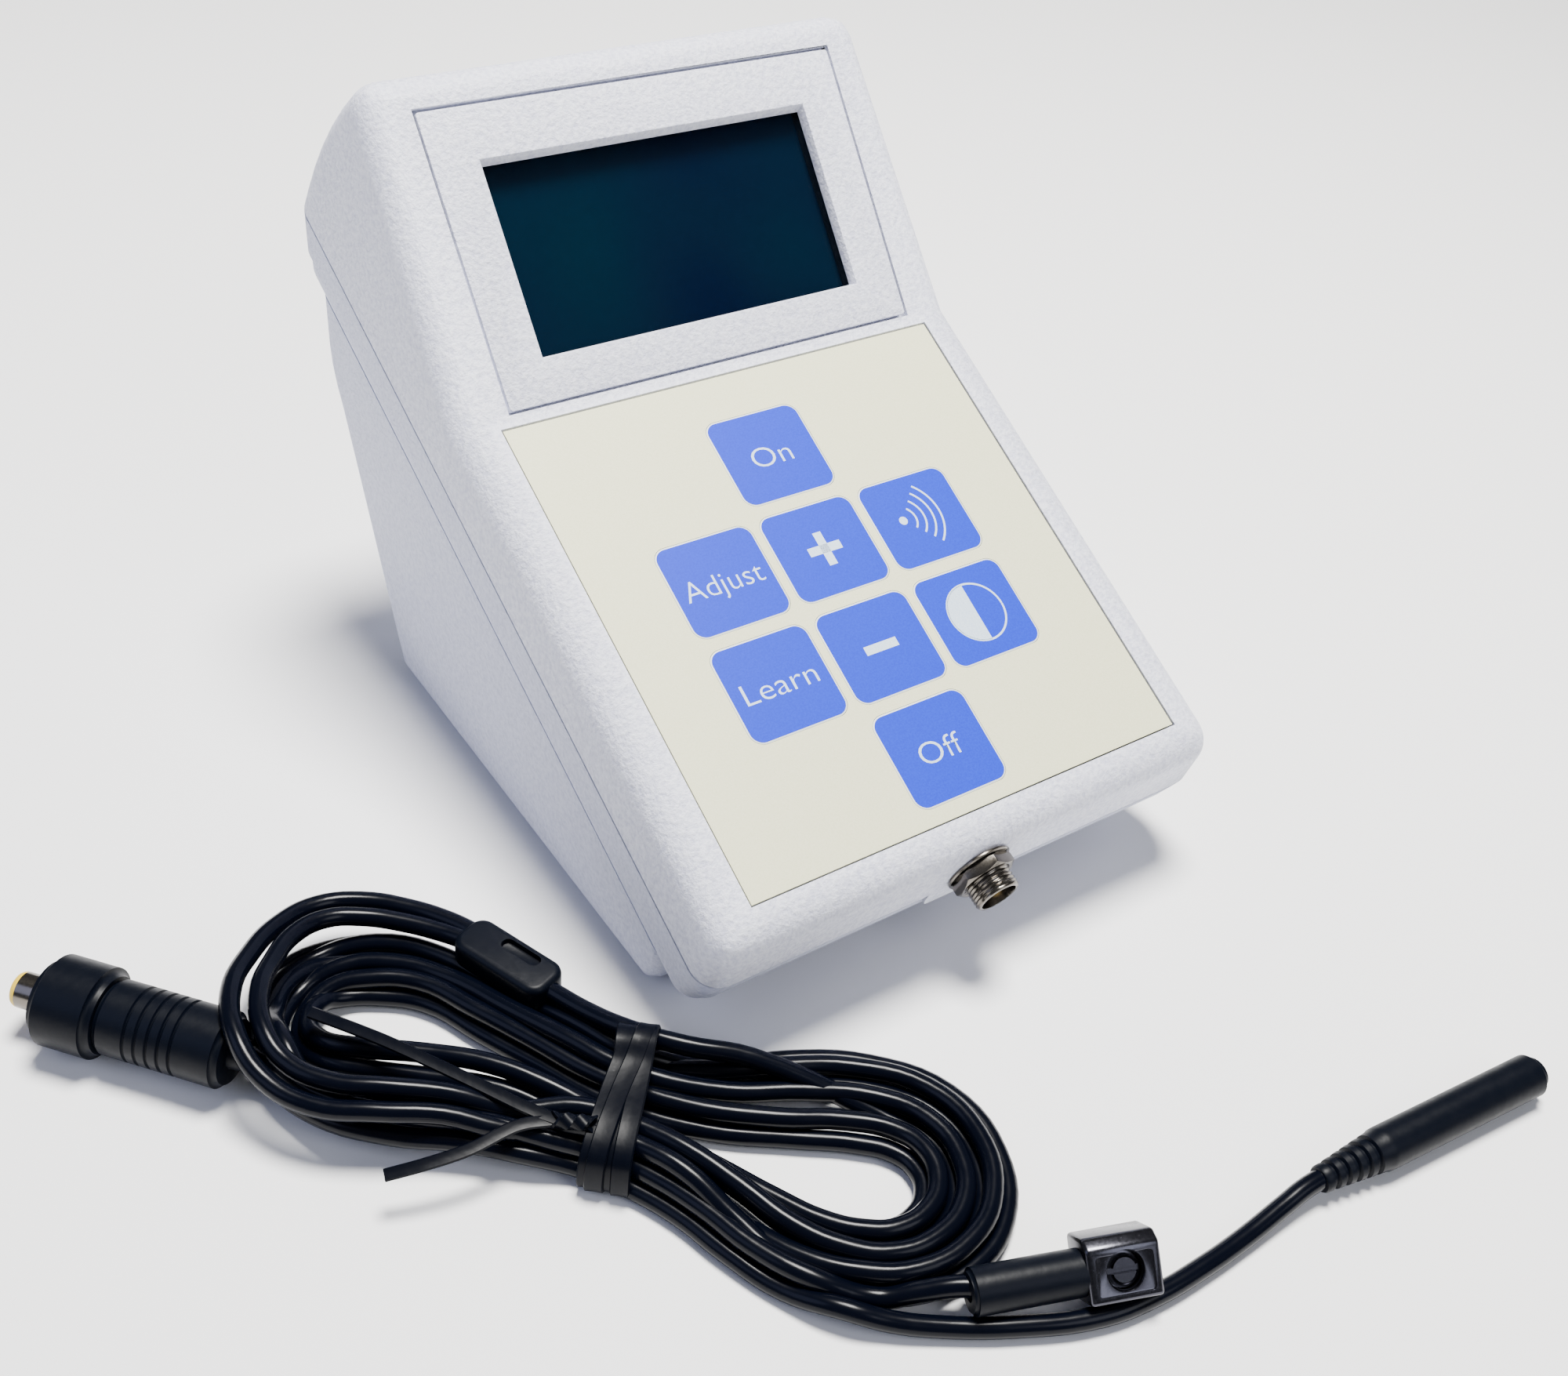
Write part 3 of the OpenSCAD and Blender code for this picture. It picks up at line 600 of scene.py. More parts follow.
# From the plug's boot, under the turns and into the innermost one; two more turns; out to the splitter
plug_end = [(-111.2, -33.6, 7), (-109.3, -35.9, 7), (-106.7, -39.2, 5.4), (-103.6, -43, 2.9),
            (-100.2, -46.8, 1.6), (-95.6, -51, 1.55), (-90.4, -55.2, 1.55), (-85, -59.2, 1.55),
            (-79.7, -62.8, 1.55)]
main_turns = wound(4.6, 2 * STEPS + 14, shifting(0, 1), 0.35, 3)
to_splitter = [(-46.6, -73.2, 7.4), (-54.6, -67.2, 8.8), (-60.3, -60.4, 8.8), (-63.5, -53.4, 7.6),
               (-65.6, -48, 7.2), (-67.2, -44, 7.2)]
main_points = [Vector(p) for p in plug_end] + main_turns + [Vector(p) for p in to_splitter]
main_cord = cord("cord_to_splitter", main_points)


def branch(name, top, slot, leave_at, tail, seed):
    """One of the two cords from the splitter: over the top of the loop, two turns, and out to its end."""
    turns = wound(STEPS + 4.4, leave_at, lambda step: shifting(slot, 2)(step - STEPS), 0.3, seed)
    points = [Vector(p) for p in top] + turns + [Vector(p) for p in tail]
    return cord(name, points), points


clip_top = [(-72.0, -32.6, 7.6), (-75.2, -28.2, 7.6), (-79.7, -23.4, 7.8), (-84.7, -19.6, 8.2), (-90.2, -17.8, 9),
            (-95.9, -19.4, 10), (-100.8, -23.8, 11), (-104.9, -29.6, 12.4), (-107.0, -36.4, 12.4),
            (-106.2, -42.6, 11), (-102.1, -48.8, 10.6), (-95.4, -53.6, 10.4), (-88, -58.2, 9.2), (-81, -63.6, 7)]
clip_tail = [(-51.6, -112.8, 2.4), (-47, -115.6, 3.8), (-42.6, -118.2, 5.1), (-39, -120.6, 5.4), (-35.6, -122.1, 5.4)]
probe_top = [(-70.4, -31.8, 7.6), (-73.3, -26.4, 7.6), (-78, -20.4, 7.6), (-83.4, -15.9, 7.8), (-90, -13.9, 8.4),
             (-97, -16.0, 9.6), (-103.3, -20.9, 11), (-108.8, -28.4, 12.9), (-110.9, -36.6, 12.8),
             (-109.9, -43.6, 10.6), (-105.6, -50.6, 9.6), (-98.4, -56, 9.6), (-90.4, -60.6, 8.8), (-82.6, -66.4, 6.6)]
probe_tail = [(-56.6, -112.4, 3.2), (-52.2, -116.4, 2.2), (-46.2, -120.6, 1.6), (-38.1, -125.5, 1.6),
              (-26.8, -130.6, 1.6), (-18.1, -132.2, 1.6), (-9, -132.5, 1.6), (0, -132.2, 1.7), (8, -131.7, 2.5),
              (13, -131.5, 3.3), (19, -131.9, 3.6)]
clip_cord, clip_points = branch("cord_to_clip", clip_top, 3, 3 * STEPS + 8.6, clip_tail, 5)
probe_cord, probe_points = branch("cord_to_probe", probe_top, 4, 3 * STEPS + 8.3, probe_tail, 7)


# ---- Case -------------------------------------------------------------------

WALL = 2.4
HALF_W = 50.8
SIDE_LEAN = 0.09
SEAM = -12.0
BACK_R = 63.0
BACK_CENTRE = (-3.7, -8.0)
HEAD_TILT = math.radians(24)
FRONT_SEAM = FACE_LEN - SEAM * math.tan(FRONT_LEAN)
REAR_SEAM = BACK_CENTRE[0] + BACK_R


def cover_profile(inset):
    """The cover's outline from the side, in the keypad's frame, drawn in by a wall's thickness."""
    low = SEAM - (1 if inset else 0)
    front = inset / math.cos(FRONT_LEAN)
    tan_head = math.tan(HEAD_TILT)
    drop = inset / math.cos(HEAD_TILT)
    points = [(-FACE_LEN + low * math.tan(FRONT_LEAN) + front, low),
              (-FACE_LEN - inset * math.tan(FRONT_LEAN) + front, -inset),
              ((drop - inset) / tan_head, -inset)]
    # Where the display's plane meets the back's arc
    a = 1 + tan_head ** 2
    rise = -drop - BACK_CENTRE[1]
    b = 2 * (-BACK_CENTRE[0] + tan_head * rise)
    c = BACK_CENTRE[0] ** 2 + rise ** 2 - (BACK_R - inset) ** 2
    top = (-b + math.sqrt(b * b - 4 * a * c)) / (2 * a)
    start = math.asin((top * tan_head - drop - BACK_CENTRE[1]) / (BACK_R - inset))
    for i in range(7):
        angle = start * (1 - i / 6)
        points.append((BACK_CENTRE[0] + (BACK_R - inset) * math.cos(angle),
                       BACK_CENTRE[1] + (BACK_R - inset) * math.sin(angle)))
    points.append((REAR_SEAM - inset, low))
    return points


def cover_form(name, inset, edge):
    """The cover's outside, or with an inset its hollow."""
    outline = cover_profile(inset)
    piece = prism(name, outline, -HALF_W, HALF_W, "YZ")
    for vertex in piece.data.vertices:
        half = HALF_W - SIDE_LEAN * (vertex.co.z - SEAM) - inset
        vertex.co.x = math.copysign(half, vertex.co.x)
    low = outline[0][1]
    crests = (outline[1], outline[3])

    def to_round(e):
        a, b = (v.co for v in e.verts)
        if a.x * b.x > 0:
            return a.z > low + 0.1 or b.z > low + 0.1
        return any(abs(a.y - y) < 0.01 and abs(a.z - z) < 0.01 for y, z in crests)

    take(piece)
    bpy.ops.object.mode_set(mode="EDIT")
    pick("EDGE", to_round)
    bpy.ops.mesh.bevel(offset=edge, segments=9, affect="EDGES")
    put_down()
    return outward(piece)


def in_keypad(piece, place):
    """Moves a cutter from its own frame into the keypad's."""
    return shift(piece, KEYPAD.inverted() @ place)


LABEL_W, LABEL_LEN, LABEL_MID = 84.8, 86.0, -45.4
BEZEL_W, BEZEL_H, BEZEL_MID = 79.8, 49.1, 24.95
WINDOW_MID = 24.35
WINDOW_SLOPE, WINDOW_TOP_SLOPE = 0.45, 0.8     # run in mm for each mm of depth
EDGE_R = 4.7

cover = cover_form("case_cover", 0, EDGE_R)
cut(cover, cover_form("hollow", WALL, 2.3))
tab = slab("tab", 17, 8, -WALL, -0.05, 1.2, (0, -3))
boolean(cover, in_keypad(tab, SOCKET), "UNION")
cut(cover,
    block("keypad_recess", (-LABEL_W / 2 - 0.3, LABEL_MID - LABEL_LEN / 2 - 0.3, -1.9),
          (LABEL_W / 2 + 0.3, LABEL_MID + LABEL_LEN / 2 + 0.3, 2)),
    in_keypad(block("bezel_recess", (-BEZEL_W / 2 - 0.3, 0.05, -2.0), (BEZEL_W / 2 + 0.3, 50.05, 2)), DISPLAY),
    in_keypad(block("window_way", (-36, WINDOW_MID - 20.2, -8), (36, WINDOW_MID + 20.2, -1)), DISPLAY),
    in_keypad(turned("socket_hole", [(4.1, -8), (4.1, 3)], 48), SOCKET))
soften(cover, 0.22, 2, 55)
settle(cover, KEYPAD, cover_abs, "unit", ("front_cover",))


TRAY_FRONT_LEAN, TRAY_REAR_LEAN = 0.0976, 0.488     # run in mm for each mm of depth


def slanted(piece):
    """Leans a tray's front and rear walls as its mould does."""
    for vertex in piece.data.vertices:
        depth = SEAM - vertex.co.z
        vertex.co.y += depth * (TRAY_FRONT_LEAN if vertex.co.y < 0 else -TRAY_REAR_LEAN)
    return piece


def tray(name, inset, top, floor, corner, edge):
    """The shallow tray round the rear shell's rim."""
    front, rear = -FRONT_SEAM + inset, REAR_SEAM - inset
    piece = slab(name, 2 * (HALF_W - inset), rear - front, floor, top, corner, (0, (front + rear) / 2))
    slanted(piece)
    if edge:
        take(piece)
        bpy.ops.object.mode_set(mode="EDIT")
        pick("EDGE", lambda e: all(v.co.z < floor + 0.01 for v in e.verts))
        bpy.ops.mesh.bevel(offset=edge, segments=6, affect="EDGES")
        put_down()
    return outward(piece)


FOOT_SIDE = [(-52.3, 10.1), (-51.3, 7.4), (-49.6, 3.2), (-47.3, 1), (43.6, 1), (64.4, 46.6), (66.6, 50.6),
             (68.0, 54.4), (68.6, 58.4), (68.6, 69)]


def drawn_in(outline, inset):
    """An outline moved in by a wall's thickness."""
    points = []
    count = len(outline)
    for i in range(count):
        a, b, c = (Vector(outline[(i + k) % count]) for k in (-1, 0, 1))
        n1 = Vector((-(b - a).y, (b - a).x)).normalized()
        n2 = Vector((-(c - b).y, (c - b).x)).normalized()
        mean = (n1 + n2) / (1 + n1.dot(n2))
        points.append(tuple(b + mean * inset))
    return points


def foot(name, inset, edge):
    """The wedge that the unit stands on."""
    outline = drawn_in(FOOT_SIDE, inset)
    piece = prism(name, outline, -49.9 + inset, 49.9 - inset, "YZ")
    top = (outline[0], outline[-1])
    corners = (outline[4],)

    def near(v, point):
        return abs(v.y - point[0]) < 0.01 and abs(v.z - point[1]) < 0.01

    def to_round(e):
        a, b = (v.co for v in e.verts)
        if a.x * b.x > 0:
            return not (any(near(a, p) for p in top) and any(near(b, p) for p in top))
        return any(near(a, p) for p in corners)

    take(piece)
    bpy.ops.object.mode_set(mode="EDIT")
    pick("EDGE", to_round)
    bpy.ops.mesh.bevel(offset=edge, segments=6, affect="EDGES")
    put_down()
    shift(piece, KEYPAD.inverted())
    return outward(piece)


shell = tray("case_shell", 0, SEAM - 0.5, -18.6, 4.6, 0)
boolean(shell, tray("tray_floor", 0.55, -18.5, -24.3, 4.2, 3.2), "UNION")
boolean(shell, foot("foot", 0, 2.6), "UNION")
cut(shell, tray("tray_hollow", WALL, SEAM + 1, -21.9, 2.2, 0), foot("foot_hollow", WALL, 0.6))
battery_box = block("battery_box", (-32, 8.7, 2), (32, 39.7, 24.5))
cut(battery_box, block("battery_space", (-25.25, 10.2, 0), (25.25, 38.2, 23)))
boolean(shell, shift(battery_box, KEYPAD.inverted()), "UNION")
to_keypad = KEYPAD.inverted()
cut(shell,
    shift(block("door_way", (-29.3, 8.7, 0), (29.3, 69, 3.35)), to_keypad),
    shift(block("door_grooves", (-30.8, 8.7, 2), (30.8, 69, 3.35)), to_keypad),
    shift(block("battery_way", (-25.25, 10.2, 0), (25.25, 38.2, 10)), to_keypad),
    in_keypad(block("tab_notch", (-8.8, -7.3, -3.6), (8.8, 0.9, 2)), SOCKET))
for x in (-40, 40):
    for y in (-36, 32):
        cut(shell, shift(turned("foot_pocket", [(5.1, 0), (5.1, 1.7)], 32), to_keypad @ Matrix.Translation((x, y, 0))))
for x in (-43, 43):
    for y, end in ((-58, -52), (33, -110)):
        cut(shell, shift(turned("screw_way", [(3.3, end), (3.3, -24)], 24), Matrix.Translation((x, y, 0))))
soften(shell, 0.3, 2, 50)
settle(shell, KEYPAD, shell_abs, "unit", ("rear_shell",))

door = block("battery_door_lid", (-29, 9, 1), (29, 41, 3.2))
boolean(door, block("tongues", (-30.5, 9, 2.15), (30.5, 41, 3.2)), "UNION")
for i in range(5):
    cut(door, block("grip", (-9, 15 + 1.8 * i, 0.5), (9, 15.9 + 1.8 * i, 1.35)))
soften(door, 0.2, 2, 50)
settle(door, TABLE, shell_abs, "battery_door", ("battery_door",))

# ---- Keypad -----------------------------------------------------------------

KEY_W, KEY_LEN, KEY_CORNER = 17.8, 16.5, 2.1
HOLE_W, HOLE_LEN, HOLE_CORNER = 18.5, 17.2, 2.5
KEY_X0, KEY_Y0 = -0.5, -19.2
PITCH_X, PITCH_Y = 19.9, 19.3
INK_LOW, INK_HIGH = -0.3, -0.15
CAPITAL = 0.73     # height of a capital letter in the font, for a text of size 1
STROKE = 0.36      # of the thin rings and arcs


def bar(width, height, x=0.0, y=0.0):
    return block("ink", (x - width / 2, y - height / 2, INK_LOW), (x + width / 2, y + height / 2, INK_HIGH))


def arc_ink(radius, stroke, first, last, x=0.0, y=0.0, steps=40):
    """A thin printed arc between two angles in degrees."""
    angles = [math.radians(first + (last - first) * i / steps) for i in range(steps + 1)]
    outer = [(x + (radius + stroke / 2) * math.cos(a), y + (radius + stroke / 2) * math.sin(a)) for a in angles]
    inner = [(x + (radius - stroke / 2) * math.cos(a), y + (radius - stroke / 2) * math.sin(a)) for a in angles]
    return prism("ink", outer + inner[::-1], INK_LOW, INK_HIGH)


def half_disc(radius, first, last):
    angles = [math.radians(first + (last - first) * i / 40) for i in range(41)]
    return prism("ink", [(radius * math.cos(a), radius * math.sin(a)) for a in angles], INK_LOW, INK_HIGH)


def word(letters, width, height):
    """Plain lettering, as wide and as tall as the key's word."""
    put_down()
    bpy.ops.object.text_add()
    text = bpy.context.object
    text.data.body = letters
    text.data.extrude = 1
    text.data.offset = -0.01
    text.data.resolution_u = 4
    bpy.ops.object.convert(target="MESH")
    piece = started("ink")
    xs = [v.co.x for v in piece.data.vertices]
    grow = height / CAPITAL
    stretch = width / (max(xs) - min(xs))
    for vertex in piece.data.vertices:
        vertex.co.x = (vertex.co.x - (max(xs) + min(xs)) / 2) * stretch
        vertex.co.y = (vertex.co.y - CAPITAL / 2) * grow
        vertex.co.z = INK_HIGH if vertex.co.z > 0 else INK_LOW
    return piece


WORDS = {"on": ("On", 7.6, 4.0), "adjust": ("Adjust", 14.6, 3.9), "learn": ("Learn", 13.6, 3.9),
         "off": ("Off", 8.2, 4.0)}


def legends(key):
    """The pale marks on a key's face."""
    if key == "plus":
        return [bar(6.4, 1.6), bar(1.6, 6.4)]
    if key == "minus":
        return [bar(6.4, 1.6)]
    if key == "sound":
        dot = shift(half_disc(0.8, 0, 351), Matrix.Translation((-3.4, 0.4, 0)))
        return [dot] + [arc_ink(r, STROKE, -48, 48, -3.4, 0.4) for r in (2.6, 4.3, 6.0, 7.6)]
    if key == "contrast":
        return [arc_ink(5.4, STROKE, 0, 359.5, steps=72), half_disc(5.4, 90, 270)]
    return [word(*WORDS[key])]


KEY_PLACES = {"on": (0, 0), "adjust": (-1, 1), "plus": (0, 1), "sound": (1, 1), "learn": (-1, 2),
              "minus": (0, 2), "contrast": (1, 2), "off": (0, 3)}
for key, (column, row) in KEY_PLACES.items():
    pad = soften(slab("pad_" + key, HOLE_W - 0.1, HOLE_LEN - 0.1, -0.7, -0.2, HOLE_CORNER), 0.08, 2, 50)
    face = slab("face", KEY_W, KEY_LEN, -0.45, -0.17, KEY_CORNER)
    paint(pad, rim_film, key_film, legend_ink)
    paint(face, key_film)
    inks = legends(key)
    for ink in inks:
        paint(ink, legend_ink)
    join(pad, face, *inks)
    place = KEYPAD @ Matrix.Translation((KEY_X0 + column * PITCH_X, KEY_Y0 - row * PITCH_Y, 0))
    settle(pad, place, None, "key_" + key, ("key_" + key,))

# ---- Display ----------------------------------------------------------------

plate = slab("display_frame_plate", BEZEL_W - 0.3, BEZEL_H - 0.3, -2, 0, 0.5, (0, BEZEL_MID), 3)
opening = block("opening", (-32.2, WINDOW_MID - 17.4, -3), (32.2, WINDOW_MID + 17.4, 1))
for vertex in opening.data.vertices:
    depth = -vertex.co.z
    slope = WINDOW_TOP_SLOPE if vertex.co.y > WINDOW_MID else WINDOW_SLOPE
    vertex.co.x -= math.copysign(WINDOW_SLOPE * depth, vertex.co.x)
    vertex.co.y -= math.copysign(slope * depth, vertex.co.y - WINDOW_MID)
cut(plate, opening)
soften(plate, 0.25, 3, 30)
settle(plate, DISPLAY, cover_abs, "unit", ("display_bezel",))

# ---- Socket -----------------------------------------------------------------

THREAD_R, THREAD_DEPTH, THREAD_PITCH = 3.97, 0.26, 0.64


def cut_thread(piece, low, high):
    """Cuts a helical thread into a turned piece between two heights."""
    for vertex in piece.data.vertices:
        x, y, z = vertex.co
        if low < z < high and math.hypot(x, y) > THREAD_R - 0.05:
            phase = (z / THREAD_PITCH - math.atan2(y, x) / math.tau) % 1
            r = THREAD_R - THREAD_DEPTH * (1 - abs(2 * phase - 1))
            vertex.co.x, vertex.co.y = x * r / math.hypot(x, y), y * r / math.hypot(x, y)


bushing = turned("socket_bushing", [(5.3, -3.8), (5.3, -2.5), (3.9, -2.5), (3.9, 2.4)]
                 + [(THREAD_R, 2.4 + 0.1 * i) for i in range(34)] + [(3.75, 5.95), (3.6, 6.1)], 72)
cut_thread(bushing, 2.45, 5.75)
cut(bushing, turned("bore", [(3.1, -7), (3.1, 5.7), (3.4, 7)], 48))
settle(bushing, SOCKET, nickel, "unit", ("jack_bushing",), math.radians(50))

washer = turned("socket_washer", [(5.55, 0), (5.75, 0.15), (5.75, 0.4), (5.55, 0.6)], 64)
cut(washer, turned("hole", [(4.0, -1), (4.0, 2)], 48),
    shift(turned("mark", [(0.5, 0.2), (0.5, 2)], 16), Matrix.Translation((-4.9, -1.2, 0))))
settle(washer, SOCKET, nickel, "unit", ("jack_washer",))

nut = turned("socket_nut", [(5.48, 0.62), (5.48, 2.7)], 6)
chamfers = turned("chamfers", [(4.9, 0.6), (5.5, 1.0), (5.5, 2.2), (4.7, 2.72)], 64)
boolean(nut, chamfers, "INTERSECT")
cut(nut, turned("hole", [(4.0, -1), (4.0, 2.4), (4.35, 2.75), (4.35, 4)], 48))
soften(nut, 0.08, 2, 40)
settle(nut, SOCKET, nickel, "unit", ("jack_nut",), math.radians(30))

# ---- Plug -------------------------------------------------------------------


def grooves(start, pitch, count, radius, depth, width):
    """Lathe profile of a run of round-bottomed grip grooves."""
    points = []
    for i in range(count):
        for k in range(7):
            angle = math.pi * k / 6
            points.append((radius - depth * math.sin(angle), start + i * pitch + width * (k / 6)))
    return points


collar = turned("plug_locking_collar", rounded((5.6, 0), (6.95, 1.4), False) + rounded((6.95, 9.1), (6.0, 10), True)
                + [(5.9, 10.3)], 80)
cut(collar, turned("front_bore", [(4.3, -1), (4.3, 0), (4.05, 0.3), (4.05, 5)], 64),
    turned("back_bore", [(4.56, 5), (4.56, 11)], 64))
settle(collar, PLUG, grip_pvc, "plug_collar", ("plug_collar",))

boot = turned("plug_boot_moulding", [(4.5, 5.5), (4.5, 10.2), (5.2, 10.4)] + rounded((5.2, 10.5), (5.7, 11.2), False)
              + [(5.72, 15.0)] + grooves(15.3, 1.85, 5, 5.72, 0.4, 0.6) + [(5.74, 28.8)]
              + rounded((5.74, 29.2), (4.9, 30.2), True) + [(2.5, 30.4), (2.2, 32.4), (1.6, 32.5)], 80)
settle(boot, PLUG, grip_pvc, "lead", ("plug_boot",))

tip = turned("plug_tip_ring", [(2.2, -5.2), (2.5, -5.0), (2.7, -4.6), (2.7, -4.2)], 48)
cut(tip, turned("hole", [(1.25, -6), (1.25, 0)], 32))
settle(tip, PLUG, yellow_nylon, "lead", ("plug_tip",))

# ---- Splitter, tie ----------------------------------------------------------

splitter = soften(slab("splitter_moulding", 18, 7.6, -2.5, 2.5, 2.6), 1.1, 4, 40)
cut(splitter, soften(slab("slot", 7.4, 2.2, 1.5, 4, 1.05, (1.4, 1.5)), 0.2, 2, 50))
settle(splitter, SPLITTER, grip_pvc, "lead", ("cord_splitter",))


def strip(name, spine, across, width, thick, closed=False):
    """A flat strip with rounded edges, swept along a spine; across is its width's direction."""
    count = len(spine)
    rings = []
    for i, (point, side) in enumerate(zip(spine, across)):
        ahead = spine[(i + 1) % count] if closed else spine[min(i + 1, count - 1)]
        behind = spine[i - 1] if closed or i else spine[0]
        way = (ahead - behind).normalized()
        side = (side - way * side.dot(way)).normalized()
        up = side.cross(way)
        w, t = width / 2, thick / 2
        shape = [(-w, 0), (-w + 0.7 * t, -t), (w - 0.7 * t, -t), (w, 0), (w - 0.7 * t, t), (0.25 * w, 0.85 * t),
                 (-0.25 * w, 0.85 * t), (-w + 0.7 * t, t)]
        rings.append([point + side * a + up * b for a, b in shape])
    sides = len(rings[0])
    vertices = [v for one in rings for v in one]
    spans = count if closed else count - 1
    faces = []
    for i in range(spans):
        j = (i + 1) % count
        faces += [(i * sides + k, i * sides + (k + 1) % sides, j * sides + (k + 1) % sides, j * sides + k)
                  for k in range(sides)]
    if not closed:
        faces += [tuple(range(sides))[::-1], tuple((count - 1) * sides + k for k in range(sides))]
    mesh = bpy.data.meshes.new(name)
    mesh.from_pydata([tuple(v) for v in vertices], [], faces)
    piece = bpy.data.objects.new(name, mesh)
    bpy.context.scene.collection.objects.link(piece)
    return outward(piece)


def smooth_run(points, per=8, closed=False):
    """Points along a smooth curve through the given ones."""
    count = len(points)
    out = []
    for i in range(count if closed else count - 1):
        p = [Vector(points[(i + k) % count]) if closed else Vector(points[min(max(i + k, 0), count - 1)])
             for k in (-1, 0, 1, 2)]
        for k in range(per):
            t = k / per
            out.append((p[1] * 2 + (p[2] - p[0]) * t + (p[0] * 2 - p[1] * 5 + p[2] * 4 - p[3]) * t * t
                        + (p[1] * 3 - p[0] - p[2] * 3 + p[3]) * t ** 3) / 2)
    if not closed:
        out.append(Vector(points[-1]))
    return out


TIE_MID = Vector((-66.2, -69.4, 0))
TIE_ALONG = Vector((0.737, -0.676, 0))
TIE_ACROSS = Vector((0.676, 0.737, 0))
TIE_LOOP = [(-12.4, 3), (-11.2, 7), (-6.4, 8.9), (0, 9.2), (4, 9.8), (7.4, 11.2), (10.2, 10.4), (11.9, 6.2),
            (11.6, 2.2), (8, 0.5), (0, 0.45), (-8, 0.5), (-11.6, 1.1)]
wraps = []
# Four wraps: where each starts and ends along the cords, and how far it rides over the others
for start, end, grow in ((-2.6, -0.9, 0.0), (-1.5, 1.3, 0.5), (0.4, -1.9, 0.0), (2.3, 1.6, 0.5)):
    loop = smooth_run([(a * (1 + grow / 14), z + (grow if z > 3 else 0), 0) for a, z in TIE_LOOP], 6, True)
    spine = []
    for i, p in enumerate(loop):
        slant = start + (end - start) * 0.5 * (1 - math.cos(math.tau * i / len(loop)))
        spine.append(TIE_MID + TIE_ACROSS * p.x + TIE_ALONG * slant + Vector((0, 0, p.y)))
    wraps.append(strip("wrap", spine, [TIE_ALONG + Vector((0, 0, 0.05))] * len(spine), 2.9, 0.6, True))
knot_start = TIE_MID + TIE_ACROSS * -7.2 + TIE_ALONG * -3.2 + Vector((0, 0, 9.2))
knot_end = TIE_MID + TIE_ACROSS * -7.6 + TIE_ALONG * -8.2 + Vector((0, 0, 9.2))
for turn_by in (0, math.pi):
    spine, across = [], []
    for i in range(25):
        t = i / 24
        angle = turn_by + t * math.tau * 1.25
        off = TIE_ACROSS * math.cos(angle) + Vector((0, 0, 1)) * math.sin(angle)
        spine.append(knot_start.lerp(knot_end, t) + off * 0.75)
        across.append(TIE_ACROSS * -math.sin(angle) + Vector((0, 0, 1)) * math.cos(angle))
    wraps.append(strip("twist", spine, across, 2.3, 0.7))
UPPER_TAIL = [(-77.1, -69.6, 9.2), (-80.2, -65.8, 9.8), (-85.6, -57.3, 10.6), (-92.9, -46, 11.4),
              (-99.8, -35.8, 11.2)]
LOWER_TAIL = [(-77.2, -69.4, 9.0), (-82.5, -67.6, 9.2), (-89.7, -67.4, 8.6), (-96, -66.1, 8.0),
              (-101.2, -64.4, 7.2)]
for tail, tilt in ((UPPER_TAIL, (0.8, 0.5, 0.35)), (LOWER_TAIL, (0.1, 0.9, 0.35))):
    spine = smooth_run(tail, 8)
    wraps.append(strip("tail", spine, [Vector(tilt)] * len(spine), 1.9, 0.6))
tie = join(*wraps)
tie.name = tie.data.name = "hank_tie_strip"
settle(tie, TABLE, tie_pvc, "lead", ("hank_tie",))

# ---- Clip and probe ---------------------------------------------------------

ALONG_X = turn(90, "Y")
sleeve = turned("clip_sleeve_tube", rounded((2.7, -16), (3.3, -15.5), False) + [(3.32, -6), (3.3, 0.4)], 64)
cut(sleeve, turned("hole", [(1.3, -17), (1.3, -8)], 32))
settle(sleeve, CLIP @ ALONG_X, grip_pvc, "lead", ("clip_sleeve",))

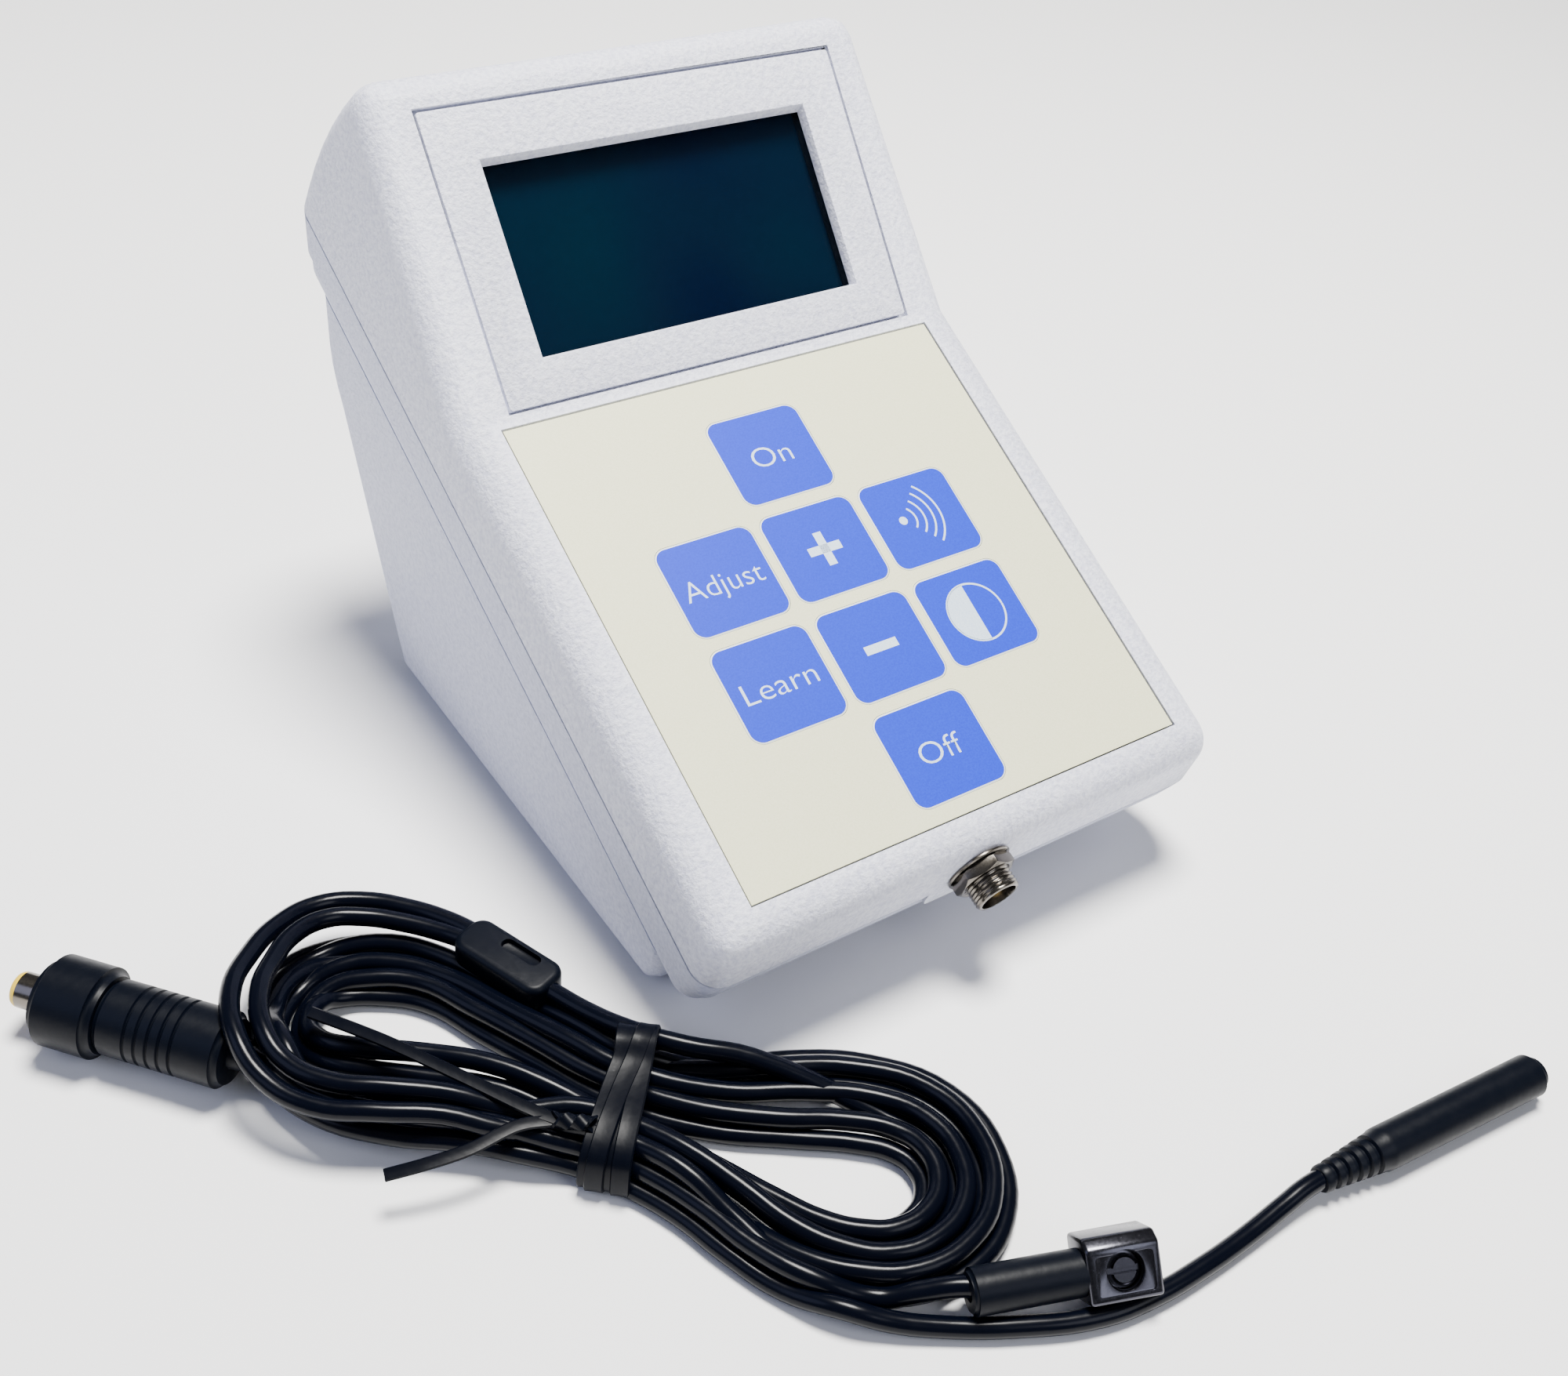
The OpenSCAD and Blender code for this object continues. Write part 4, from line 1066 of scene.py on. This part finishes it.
clamp = prism("clip_clamp_block", [(-4.1, -3.4), (4.8, -3.4), (4.8, 1.9), (3.4, 3.4), (-4.1, 3.4)], 0, 10.9, "YZ")
soften(clamp, 0.6, 3, 40)
cut(clamp, soften(slab("face", 8.6, 5.6, 3.15, 4.5, 0.7, (5.5, -0.3)), 0.15, 2),
    shift(turned("screw_hole", [(2.65, 0.9), (2.65, 2.8), (2.9, 3.2), (2.9, 4)], 48),
          Matrix.Translation((5.6, 0, 0))),
    shift(turned("hook_hole", [(1.1, 7.5), (1.1, 10.5), (1.6, 11.3)], 32), ALONG_X))
settle(clamp, CLIP, clip_nickel_painted_dark, "lead", ("clip_block",))

screw = turned("clip_clamp_screw", [(2.45, 1.0), (2.45, 2.0)] + rounded((2.45, 2.0), (1.7, 2.7), True), 48)
cut(screw, block("slot", (-3, -0.4, 1.9), (3, 0.4, 3.5)))
settle(screw, CLIP @ Matrix.Translation((5.6, 0, 0)), clip_nickel_painted_dark, "clip_screw", ("clip_screw",))

relief = [(1.35, 0), (1.9, 0.15), (2.1, 0.5)]
for i in range(5):
    base, here = 2.1 + 0.2 * i, 1.4 + 1.95 * i
    relief += [(base + 0.05, here), (base - 0.35, here + 0.25), (base - 0.35, here + 0.8), (base + 0.15, here + 1.05)]
handle = turned("probe_handle_moulding", relief + [(3.15, 11.6), (3.35, 12.2), (3.4, 13), (3.42, 44.4)]
                + rounded((3.42, 44.6), (2.5, 46), True), 72)
cut(handle, turned("bore", [(2.2, 36), (2.2, 47)], 48))
settle(handle, PROBE, grip_pvc, "lead", ("probe_handle",))

# ---- Finishes of the frame's own pieces -------------------------------------

FINISHES = {
    "display_window": window_glass, "lcd_frame": black_abs, "lcd_glass": panel_dark, "lcd_board": board_mask,
    "lcd_screws": steel, "keypad_overlay": label_film, "keypad_spacer": spacer_film,
    "keypad_circuit": spacer_film, "keypad_domes": steel, "keypad_tail": ribbon_film, "main_board": board_mask,
    "board_chips": black_abs, "board_connectors": white_nylon, "board_screws": steel, "sounder": black_abs,
    "jack_body": black_abs, "jack_insulator": black_abs, "jack_pin": brass, "jack_terminals": brass,
    "case_screws": steel, "rubber_feet": foot_rubber, "battery": battery_jacket, "battery_snap": black_abs,
    "battery_wires": wire_pvc, "jack_wires": wire_pvc, "plug_barrel": nickel, "probe_socket": brass}
for node, material in FINISHES.items():
    paint(NODES[node], material)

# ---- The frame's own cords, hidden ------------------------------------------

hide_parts("plug_cord", "cord_hank")
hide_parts("probe_cord")
